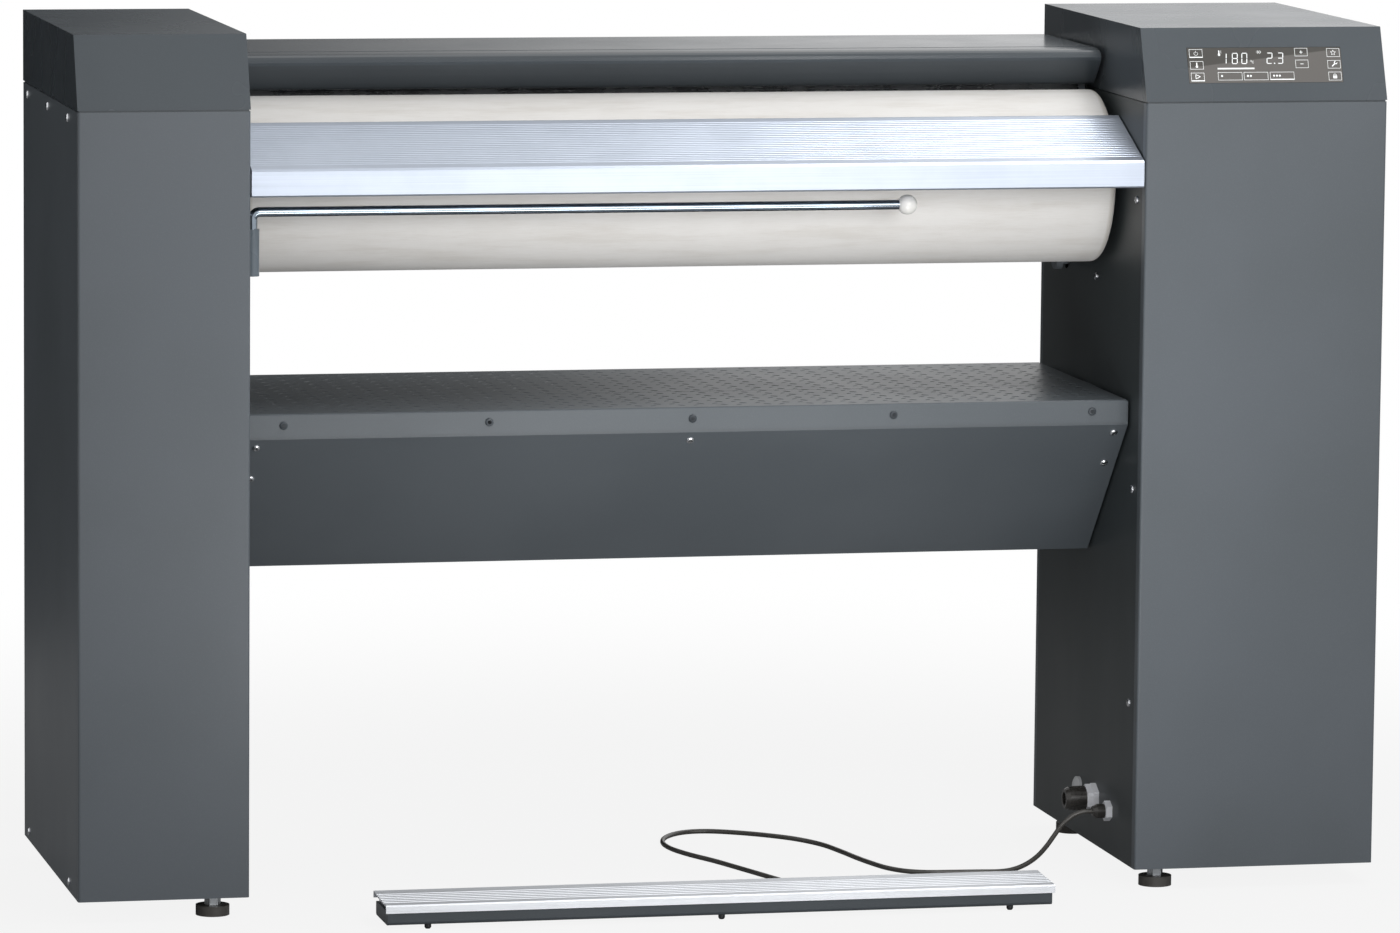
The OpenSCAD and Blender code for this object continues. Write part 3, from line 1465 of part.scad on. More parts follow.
module finger_guard() {
    outer = guard_outline();
    inner = reversed(inset(outer, guard_t));
    ear_w = guard_pin_l - 2 * fit - sheet / 2;
    color("#555b62") difference() {
        union() {
            side_view(hood_x0, hood_x1) polygon(concat(outer, inner));
            for (x = [hood_x0, hood_x1 - guard_t]) side_view(x, x + guard_t) polygon(outer);
            // Ears that reach the pins behind the cheeks
            for (side = [0, 1]) {
                x = side == 0 ? hood_x0 + sheet + fit : hood_x1 - sheet - fit - ear_w;
                side_view(x, x + ear_w) {
                    translate([guard_pin_y, guard_pin_z]) circle(guard_pin_r + guard_t - fit);
                    translate([groove_y - guard_d / 4, guard_pin_z - guard_pin_r])
                        square([guard_d / 4 + guard_pin_r, 2 * guard_pin_r + guard_t / 2]);
                }
            }
        }
        bar_x(hood_x0 - cut, hood_x1 + cut, guard_pin_y, guard_pin_z, guard_pin_r + run_fit);
    }
}

module actuator_rod() {
    x = lever_x + lever_t / 2;
    low = pivot_z - rod_free - actuator_l / 4;
    neck = pivot_z - lever_half - fork_t;
    color("#c3c7cb") {
        translate([x, lever_pin_y, low]) cylinder(h = neck - low, r = rod_r);
        difference() {
            union() {
                box([x - fork_half, lever_pin_y - fork_half, neck - fork_t],
                    [x + fork_half, lever_pin_y + fork_half, neck]);
                for (side = [-fork_half, fork_half - fork_t])
                    box([x + side, lever_pin_y - fork_half, neck - cut],
                        [x + side + fork_t, lever_pin_y + fork_half, pivot_z + fork_half]);
            }
            bar_x(x - 2 * fork_half, x + 2 * fork_half, lever_pin_y, pivot_z, lever_pin_r + open_pivot);
        }
    }
}

module linen_rod() {
    z0 = linen_z - socket_drop - socket_h + sheet + fit;
    color("#b9c2cc") {
        translate([socket_x, linen_y, z0]) cylinder(h = linen_z - linen_bend - z0, r = linen_r);
        translate([socket_x + linen_bend, linen_y, linen_z - linen_bend]) rotate([90, 0, 0])
            rotate([0, 0, 90]) rotate_extrude(angle = 90) translate([linen_bend, 0]) circle(linen_r);
        bar_x(socket_x + linen_bend, socket_x + linen_l - ball_r / 2, linen_y, linen_z, linen_r);
    }
}

module rod_ball() {
    bore_end = ball_r / 2 - fit;
    color("#f0f0ee") translate([socket_x + linen_l, linen_y, linen_z]) rotate([0, 90, 0]) rotate_extrude()
        difference() {
            circle(ball_r);
            translate([-ball_r, -ball_r]) square([ball_r, 2 * ball_r]);
            translate([0, -ball_r - cut]) square([linen_r + run_fit, ball_r - bore_end + cut]);
        }
}

module foot_tread() {
    d = tread_d;
    y = tread_y0;
    t = tread_t;
    first = tread_span_shares[0];
    pitch = (tread_span_shares[1] - first) / tread_grooves;
    grooves = [for (i = [0:tread_grooves - 1]) let (a = (first + i * pitch) * d, b = a + pitch * d / 3)
        each [[y + a, tread_z(a)], [y + a + tread_groove / 2, tread_z(a) - tread_groove],
            [y + b - tread_groove / 2, tread_z(b) - tread_groove], [y + b, tread_z(b)]]];
    lug_x = channel_x0 + end_t + fit;
    lug_w = tread_pin_l - 2 * fit;
    color("#c9cfd6") {
        side_view(tread_x0, tread_x1) polygon(concat(
            [[y, tread_front_z - tread_lip], [y, tread_front_z - sheet], [y + sheet, tread_z(sheet)]], grooves,
            [[y + d - sheet, tread_z(d)], [y + d, tread_rear_z - sheet], [y + d, tread_rear_z - tread_hook],
                [y + d - t, tread_rear_z - tread_hook], [y + d - t, tread_z(d) - t],
                [y + t, tread_z(t) - t], [y + t, tread_front_z - tread_lip]]));
        for (x = [lug_x, channel_x1 - end_t - fit - lug_w]) side_view(x, x + lug_w) difference() {
            translate([tread_pin_y - knuckle_share * tread_pin_r, tread_pin_z - 3 * tread_pin_r])
                square([2 * knuckle_share * tread_pin_r,
                    tread_z(tread_pin_y - y) - t - tread_pin_z + 3 * tread_pin_r]);
            translate([tread_pin_y, tread_pin_z - tread_pin_r]) circle(tread_pin_r + run_fit);
        }
    }
}

module levelling_foot(x, y) {
    translate([x, y, 0]) {
        color("#242628") cylinder(h = pad_h, r = pad_r);
        color("#b8bcc0") {
            translate([0, 0, pad_h]) hexagon(stud_af, foot_h - pad_h - fit);
            translate([0, 0, foot_h - fit]) cylinder(h = stud_l, r = stud_r);
        }
    }
}

module left_front_foot() {
    levelling_foot(feet_x[0], feet_y[0]);
}

module left_rear_foot() {
    levelling_foot(feet_x[0], feet_y[1]);
}

module right_front_foot() {
    levelling_foot(feet_x[1], feet_y[0]);
}

module right_rear_foot() {
    levelling_foot(feet_x[1], feet_y[1]);
}

left_front_panel();
left_rear_panel();
left_inner_panel();
left_outer_panel();
left_cap();
left_base();
right_front_panel();
right_rear_panel();
right_inner_panel();
right_outer_panel();
right_cap();
right_base();
left_frame();
right_frame();
roller_bearings();
pivot_bushes();
panel_screws();
cross_tube();
shelf_plate();
beam_front();
beam_rear();
feed_table();
table_brackets();
rod_socket();
display_glass();
control_board();
control_box();
gearmotor();
actuator();
mains_gland();
switch_gland();
blanking_plug();
bar_channel();
bar_pads();
tread_springs();
bar_switch();
cable_relief();
switch_cable();
roller_tube();
roller_shaft();
roller_padding();
roller_cloth();
roller_gear();
drive_pinion();
shoe_plate();
heating_rods();
insulation();
shoe_arms();
hood_top();
hood_rear();
hood_cheeks();
finger_guard();
actuator_rod();
linen_rod();
rod_ball();
foot_tread();
left_front_foot();
left_rear_foot();
right_front_foot();
right_rear_foot();
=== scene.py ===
import logging
import math
from dataclasses import dataclass, field
from enum import Enum
from typing import Iterable, Sequence, Union

import bmesh
import bpy
import numpy
from mathutils import Matrix, Vector, noise


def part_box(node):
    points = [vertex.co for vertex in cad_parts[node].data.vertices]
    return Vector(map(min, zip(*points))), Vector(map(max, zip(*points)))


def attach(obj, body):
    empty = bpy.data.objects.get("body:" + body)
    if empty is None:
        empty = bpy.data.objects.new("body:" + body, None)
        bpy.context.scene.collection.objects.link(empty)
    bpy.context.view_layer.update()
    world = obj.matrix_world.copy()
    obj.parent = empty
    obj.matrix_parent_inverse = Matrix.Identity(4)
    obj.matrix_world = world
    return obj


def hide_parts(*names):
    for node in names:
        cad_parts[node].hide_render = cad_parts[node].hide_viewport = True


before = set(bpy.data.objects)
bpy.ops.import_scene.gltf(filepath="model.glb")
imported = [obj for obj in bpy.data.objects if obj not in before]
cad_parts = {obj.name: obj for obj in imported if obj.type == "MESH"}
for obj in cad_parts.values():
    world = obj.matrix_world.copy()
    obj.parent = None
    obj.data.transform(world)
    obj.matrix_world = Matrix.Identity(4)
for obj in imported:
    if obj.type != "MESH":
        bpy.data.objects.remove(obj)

log = logging.getLogger("ironer")
MM = 0.001
MERGE = 0.00001
Colour = tuple[float, float, float]


def shade(text: str) -> Colour:
    """Turns a six digit hexadecimal colour into linear light.

    Args:
        text: the colour, such as "5c6269".

    Returns:
        Red, green and blue in linear light.
    """
    parts = [int(text[i:i + 2], 16) / 255 for i in (0, 2, 4)]
    return tuple(p / 12.92 if p <= 0.04045 else ((p + 0.055) / 1.055) ** 2.4 for p in parts)


class Wire:
    """A socket that takes part in Python sums, each of which adds a Math node."""

    def __init__(self, recipe: "Recipe", socket: bpy.types.NodeSocket) -> None:
        """Keeps the recipe and the socket.

        Args:
            recipe: the material that the socket belongs to.
            socket: the output socket.
        """
        self.recipe = recipe
        self.socket = socket

    def _sum(self, operation: str, first: "Value", second: "Value") -> "Wire":
        """Adds one Math node.

        Args:
            operation: the node's operation.
            first: its first value.
            second: its second value.

        Returns:
            The node's output.
        """
        return self.recipe.node("Math", {"operation": operation}, {0: first, 1: second})

    def __add__(self, other: "Value") -> "Wire":
        """Adds."""
        return self._sum("ADD", self, other)

    def __radd__(self, other: "Value") -> "Wire":
        """Adds to a number."""
        return self._sum("ADD", other, self)

    def __sub__(self, other: "Value") -> "Wire":
        """Takes away."""
        return self._sum("SUBTRACT", self, other)

    def __rsub__(self, other: "Value") -> "Wire":
        """Is taken from a number."""
        return self._sum("SUBTRACT", other, self)

    def __mul__(self, other: "Value") -> "Wire":
        """Multiplies."""
        return self._sum("MULTIPLY", self, other)

    def __rmul__(self, other: "Value") -> "Wire":
        """Multiplies a number."""
        return self._sum("MULTIPLY", other, self)

    def __pow__(self, other: "Value") -> "Wire":
        """Raises to a power."""
        return self._sum("POWER", self, other)

    def __gt__(self, other: "Value") -> "Wire":
        """Is 1 where it is greater."""
        return self._sum("GREATER_THAN", self, other)

    def ramp(self, low: float, high: float) -> "Wire":
        """Goes smoothly from 0 at low to 1 at high.

        Args:
            low: the value that gives 0.
            high: the value that gives 1.

        Returns:
            The smooth step.
        """
        return self.recipe.node("MapRange", {"interpolation_type": "SMOOTHSTEP"},
                                {"Value": self, "From Min": low, "From Max": high})


Value = Union[Wire, float]


class Recipe:
    """A material's node tree under construction."""

    def __init__(self, name: str) -> None:
        """Makes an empty node material.

        Args:
            name: the material's name.
        """
        self.material = bpy.data.materials.new(name)
        self.material.use_nodes = True
        self.tree = self.material.node_tree
        self.tree.nodes.clear()

    def node(self, kind: str, settings: dict | None = None, sockets: dict | None = None,
             output: int | str = 0) -> Wire:
        """Adds one shader node.

        Args:
            kind: the node's type without its ShaderNode prefix.
            settings: the node's own settings, set first.
            sockets: values or wires of its inputs, by name or number.
            output: the name or number of the output that is wanted.

        Returns:
            That output.
        """
        made = self.tree.nodes.new("ShaderNode" + kind)
        for key, value in (settings or {}).items():
            setattr(made, key, value)
        for key, value in (sockets or {}).items():
            if isinstance(value, Wire):
                self.tree.links.new(value.socket, made.inputs[key])
            else:
                made.inputs[key].default_value = value
        return Wire(self, made.outputs[output])

    def place(self, scale: Sequence[float] = (1, 1, 1), turn: float = 0.0) -> Wire:
        """Gives Object coordinates, stretched and turned about Z.

        Args:
            scale: the factor on each axis.
            turn: the turn about Z in radians.

        Returns:
            The coordinates.
        """
        spot = self.node("TexCoord", output="Object")
        return self.node("Mapping", {}, {"Vector": spot, "Scale": scale, "Rotation": (0, 0, turn)})

    def axis(self, letter: str) -> Wire:
        """Gives one Object coordinate, in metres.

        Args:
            letter: X, Y or Z.

        Returns:
            The coordinate.
        """
        return self.node("SeparateXYZ", {}, {0: self.node("TexCoord", output="Object")}, letter)

    def grain(self, where: Wire, scale: float, detail: float = 2.0, rough: float = 0.5) -> Wire:
        """Adds a noise pattern.

        Args:
            where: the coordinates.
            scale: cells in a metre.
            detail: the number of finer layers.
            rough: the weight of the finer layers.

        Returns:
            The noise, about 0.5.
        """
        return self.node("TexNoise", {}, {"Vector": where, "Scale": scale, "Detail": detail, "Roughness": rough})

    def mix(self, share: Value, first: "Colour | Wire", second: "Colour | Wire") -> Wire:
        """Mixes two colours.

        Args:
            share: how much of the second one.
            first: the first colour.
            second: the second colour.

        Returns:
            The mixed colour.
        """
        a, b = ((*c, 1.0) if isinstance(c, tuple) else c for c in (first, second))
        return self.node("Mix", {"data_type": "RGBA"}, {0: share, 6: a, 7: b}, 2)

    def bump(self, height: Wire, depth: float, strength: float = 1.0) -> Wire:
        """Makes a normal from a height.

        Args:
            height: the height, from 0 to 1.
            depth: the relief's depth in metres.
            strength: the share of the effect.

        Returns:
            The normal.
        """
        return self.node("Bump", {}, {"Height": height, "Distance": depth, "Strength": strength})

    def surface(self, **values: "Colour | Value") -> bpy.types.Material:
        """Closes the recipe with a Principled shader.

        Args:
            values: its inputs, with underscores for spaces.

        Returns:
            The finished material.
        """
        sockets = {}
        for key, value in values.items():
            sockets[key.replace("_", " ")] = (*value, 1.0) if isinstance(value, tuple) else value
        out = self.node("BsdfPrincipled", {}, sockets)
        end = self.tree.nodes.new("ShaderNodeOutputMaterial")
        self.tree.links.new(out.socket, end.inputs["Surface"])
        return self.material


class Run(Enum):
    """The way that a metal's drawing or brushing lines run."""

    ALONG_X = (4.0, 900.0, 900.0)
    EVEN = (500.0, 500.0, 500.0)


@dataclass(frozen=True)
class Paint:
    """Satin powder coat with a fine orange peel.

    Attributes:
        name: the material's name.
        colour: the coat's colour.
        tint: the colour of its faint clouds.
        roughness: the gloss.
        peel: peel waves in a metre.
        depth: the peel's depth in metres.
    """

    name: str
    colour: Colour
    tint: Colour
    roughness: float = 0.42
    peel: float = 420.0
    depth: float = 0.000012

    def build(self) -> bpy.types.Material:
        """Makes the material."""
        r = Recipe(self.name)
        where = r.place()
        clouds = r.grain(where, 3.0, 3.0).ramp(0.35, 0.65)
        peel = r.grain(where, self.peel, 2.0)
        wipes = r.grain(r.place((9, 9, 5)), 1.0, 3.0, 0.5).ramp(0.25, 0.75)
        specks = r.grain(where, self.peel * 4, 0.0).ramp(0.62, 0.78)
        colour = r.mix(specks * 0.25, r.mix(clouds, self.colour, self.tint), tuple(c * 1.5 for c in self.tint))
        return r.surface(Base_Color=colour, Roughness=self.roughness - 0.02 + 0.04 * wipes,
                         Specular_IOR_Level=0.35, Normal=r.bump(peel, self.depth, 0.6))


@dataclass(frozen=True)
class Metal:
    """Drawn, brushed, cast or plated metal.

    Attributes:
        name: the material's name.
        colour: the bare colour.
        run: the way that its lines run.
        roughness: the gloss.
        depth: the lines' depth in metres.
        scale: how coarse the lines are.
        metallic: how metallic it is, lower for an anodised skin.
    """

    name: str
    colour: Colour
    run: Run = Run.EVEN
    roughness: float = 0.3
    depth: float = 0.00002
    scale: float = 1.0
    metallic: float = 1.0

    def build(self) -> bpy.types.Material:
        """Makes the material."""
        r = Recipe(self.name)
        lines = r.grain(r.place(tuple(s * self.scale for s in self.run.value)), 1.0, 3.0, 0.6)
        smear = r.grain(r.place(), 14.0, 4.0, 0.6).ramp(0.35, 0.7)
        colour = r.mix(lines.ramp(0.3, 0.7) * 0.5 + smear * 0.3, self.colour, tuple(c * 0.82 for c in self.colour))
        return r.surface(Base_Color=colour, Metallic=self.metallic,
                         Roughness=self.roughness + 0.12 * (lines - 0.5) + 0.06 * smear,
                         Normal=r.bump(lines, self.depth, 0.7))


@dataclass(frozen=True)
class Plastic:
    """Moulded plastic or rubber with a fine spark eroded grain.

    Attributes:
        name: the material's name.
        colour: the colour.
        roughness: the gloss.
        pits: grains in a metre.
        depth: the grain's depth in metres.
    """

    name: str
    colour: Colour
    roughness: float = 0.5
    pits: float = 1400.0
    depth: float = 0.00004

    def build(self) -> bpy.types.Material:
        """Makes the material."""
        r = Recipe(self.name)
        where = r.place()
        pits = r.grain(where, self.pits, 1.0)
        haze = r.grain(where, 40.0, 3.0).ramp(0.35, 0.7)
        colour = r.mix(haze * 0.5, self.colour, tuple(min(1.0, c * 1.3 + 0.004) for c in self.colour))
        return r.surface(Base_Color=colour, Roughness=self.roughness + 0.12 * (haze - 0.5),
                         Normal=r.bump(pits, self.depth, 0.6))


@dataclass(frozen=True)
class TwoPart:
    """A piece of two materials that meet at a plane, such as rubber under steel.

    Attributes:
        name: the material's name.
        axis: the axis across the plane.
        cut: the plane's place in metres.
        below: colour, roughness and metallic of the lower side.
        above: the same of the upper side.
        pits: grains in a metre.
    """

    name: str
    axis: str
    cut: float
    below: tuple[Colour, float, float]
    above: tuple[Colour, float, float]
    pits: float = 900.0

    def build(self) -> bpy.types.Material:
        """Makes the material."""
        r = Recipe(self.name)
        side = r.axis(self.axis) > self.cut
        where = r.place()
        pits = r.grain(where, self.pits, 2.0)
        haze = r.grain(where, 60.0, 3.0).ramp(0.3, 0.7)
        low = r.mix(haze * 0.4, self.below[0], tuple(c * 1.4 for c in self.below[0]))
        high = r.mix(haze * 0.4, self.above[0], tuple(c * 0.8 for c in self.above[0]))
        return r.surface(Base_Color=r.mix(side, low, high),
                         Roughness=self.below[1] + (self.above[1] - self.below[1]) * side + 0.08 * (haze - 0.5),
                         Metallic=self.below[2] + (self.above[2] - self.below[2]) * side,
                         Normal=r.bump(pits, 0.00003, 0.6))


@dataclass(frozen=True)
class RollerCotton:
    """Cotton cover, woven on the piece's own map: across is along the roller, up is round it.

    Attributes:
        name: the material's name.
        colour: the cloth's colour.
        crease: the colour of painted shade in its folds and of its flat fibres.
        hem: the colour of the darker end strips, painted shade where the cover rounds over its ends.
        length: the covered length in metres.
        end_shade_w: the width of the darker end strip in metres.
        thread: threads in a metre.
    """

    name: str
    colour: Colour
    crease: Colour
    hem: Colour
    length: float
    end_shade_w: float = 0.0095
    thread: float = 800.0

    def build(self) -> bpy.types.Material:
        """Makes the material."""
        r = Recipe(self.name)
        cloth = r.node("UVMap", {"uv_map": "cloth"})
        across = r.node("SeparateXYZ", {}, {0: cloth}, "X")
        up = r.node("SeparateXYZ", {}, {0: cloth}, "Y")
        turn = self.thread * math.tau
        warp = r.node("Math", {"operation": "SINE"}, {0: across * turn})
        weft = r.node("Math", {"operation": "SINE"}, {0: up * turn})
        fibres = r.grain(r.node("Mapping", {}, {"Vector": cloth, "Scale": (45, 700, 1)}), 1.0, 3.0, 0.65)
        folds = r.grain(r.node("Mapping", {}, {"Vector": cloth, "Scale": (6, 46, 1)}), 1.0, 5.0, 0.62)
        clouds = r.grain(cloth, 9.0, 4.0, 0.6)
        # Folds are darkened as painted shade; fibres and clouds add random tone.
        fold_shade_and_fibre_tone = folds.ramp(0.44, 0.7) * 0.55 + fibres.ramp(0.45, 0.75) * 0.25 + clouds.ramp(0.4, 0.7) * 0.2
        body = r.mix(fold_shade_and_fibre_tone, self.colour, self.crease)
        # Darker strips at both ends: painted shade where the cover rounds over its shoulders, mixed towards the hem
        # colour.
        edge = 1 - across.ramp(self.end_shade_w * 0.6, self.end_shade_w) * (self.length - across).ramp(self.end_shade_w * 0.6, self.end_shade_w)
        height = folds * 0.5 + fibres * 0.22 + (warp * weft) * 0.05 + clouds * 0.15
        return r.surface(Base_Color=r.mix(edge * 0.75, body, self.hem), Roughness=0.9 - 0.08 * fibres,
                         Specular_IOR_Level=0.2, Sheen_Weight=0.25, Sheen_Roughness=0.5,
                         Normal=r.bump(height, 0.0012, 0.55))


@dataclass(frozen=True)
class WoolFelt:
    """Needled wool padding.

    Attributes:
        name: the material's name.
        colour: the wool's colour.
    """

    name: str
    colour: Colour

    def build(self) -> bpy.types.Material:
        """Makes the material."""
        r = Recipe(self.name)
        hairs = r.grain(r.place((260, 900, 900)), 1.0, 4.0, 0.7)
        lumps = r.grain(r.place(), 55.0, 4.0, 0.6)
        colour = r.mix(lumps.ramp(0.35, 0.7), self.colour, tuple(c * 0.78 for c in self.colour))
        return r.surface(Base_Color=colour, Roughness=0.93 - 0.05 * hairs, Specular_IOR_Level=0.1,
                         Sheen_Weight=0.3, Normal=r.bump(hairs * 0.6 + lumps * 0.4, 0.0014, 0.8))


@dataclass(frozen=True)
class SmokedGlass:
    """Touch glass, printed brown-grey behind, and a little lighter below a line that slants across it.

    Attributes:
        name: the material's name.
        upper: the colour of the upper part.
        lower: the colour of the lower part.
        edge_z: the height of the boundary in metres.
        rise: how much the boundary rises over a metre of width.
    """

    name: str
    upper: Colour
    lower: Colour
    edge_z: float
    rise: float

    def build(self) -> bpy.types.Material:
        """Makes the material."""
        r = Recipe(self.name)
        line = r.axis("Z") - r.axis("X") * self.rise
        low_part = 1 - line.ramp(self.edge_z - 0.0008, self.edge_z + 0.0008)
        smear = r.grain(r.place((30, 30, 60)), 1.0, 4.0, 0.6)
        return r.surface(Base_Color=r.mix(low_part, self.upper, self.lower),
                         Roughness=0.1 + 0.08 * smear.ramp(0.4, 0.7), Coat_Weight=0.3)


@dataclass(frozen=True)
class Ink:
    """Lit white print of the display.

    Attributes:
        name: the material's name.
        colour: the print's colour.
        glow: the strength of its light.
    """

    name: str
    colour: Colour
    glow: float

    def build(self) -> bpy.types.Material:
        """Makes the material."""
        r = Recipe(self.name)
        dots = r.grain(r.place(), 2600.0, 1.0).ramp(0.3, 0.6)
        lit = r.mix(dots, tuple(c * 0.86 for c in self.colour), self.colour)
        return r.surface(Base_Color=lit, Roughness=0.35 + 0.1 * dots, Emission_Color=lit, Emission_Strength=self.glow)


Finish = Union[Paint, Metal, Plastic, TwoPart, RollerCotton, WoolFelt, SmokedGlass, Ink]


@dataclass
class Rack:
    """Keeps each built finish, so that pieces share it."""

    made: dict[str, bpy.types.Material] = field(default_factory=dict)

    def take(self, finish: Finish) -> bpy.types.Material:
        """Builds a finish, or gives the one that exists.

        Args:
            finish: the finish.

        Returns:
            Its material.
        """
        if finish.name not in self.made:
            self.made[finish.name] = finish.build()
        return self.made[finish.name]


RACK = Rack()


def hand_over(name: str, bm: bmesh.types.BMesh, finish: Finish, body: str,
              stands_for: Iterable[str] = (), crease: float = 30.0, tidy: bool = True) -> bpy.types.Object:
    """Turns a bmesh into a finished piece that rides on a CAD body.

    Args:
        name: the piece's name.
        bm: the shape, in metres, in the row frame.
        finish: its finish.
        body: the CAD body that it moves with.
        stands_for: CAD nodes that it stands for.
        crease: the angle in degrees past which an edge stays sharp.
        tidy: whether doubles are merged and normals recalculated.

    Returns:
        The object.
    """
    if tidy:
        bmesh.ops.remove_doubles(bm, verts=bm.verts[:], dist=MERGE / 2)
        bmesh.ops.recalc_face_normals(bm, faces=bm.faces[:])
    mesh = bpy.data.meshes.new(name)
    bm.to_mesh(mesh)
    bm.free()
    mesh.shade_smooth()
    mesh.set_sharp_from_angle(angle=math.radians(crease))
    made = bpy.data.objects.new(name, mesh)
    bpy.context.scene.collection.objects.link(made)
    mesh.materials.append(RACK.take(finish))
    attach(made, body)
    if stands_for:
        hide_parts(*stands_for)
    log.info("%s: %d faces on %s", name, len(mesh.polygons), body)
    return made


@dataclass(frozen=True)
class Lamp:
    """A soft box.

    Attributes:
        name: the lamp's name.
        at: its place in metres.
        to: the point that it faces.
        size: width and height in metres.
        watts: its power.
        spread: its cone in degrees.
    """

    name: str
    at: tuple[float, float, float]
    to: tuple[float, float, float]
    size: tuple[float, float]
    watts: float
    spread: float = 180.0

    def hang(self) -> None:
        """Adds the lamp to the scene, unseen by the camera."""
        data = bpy.data.lights.new(self.name, "AREA")
        data.shape, data.energy, data.spread = "RECTANGLE", self.watts, math.radians(self.spread)
        data.size, data.size_y = self.size
        made = bpy.data.objects.new(self.name, data)
        at = Vector(self.at)
        turn = (Vector(self.to) - at).to_track_quat("-Z", "Y").to_matrix().to_4x4()
        made.matrix_world = Matrix.Translation(at) @ turn
        made.visible_camera = False
        bpy.context.scene.collection.objects.link(made)


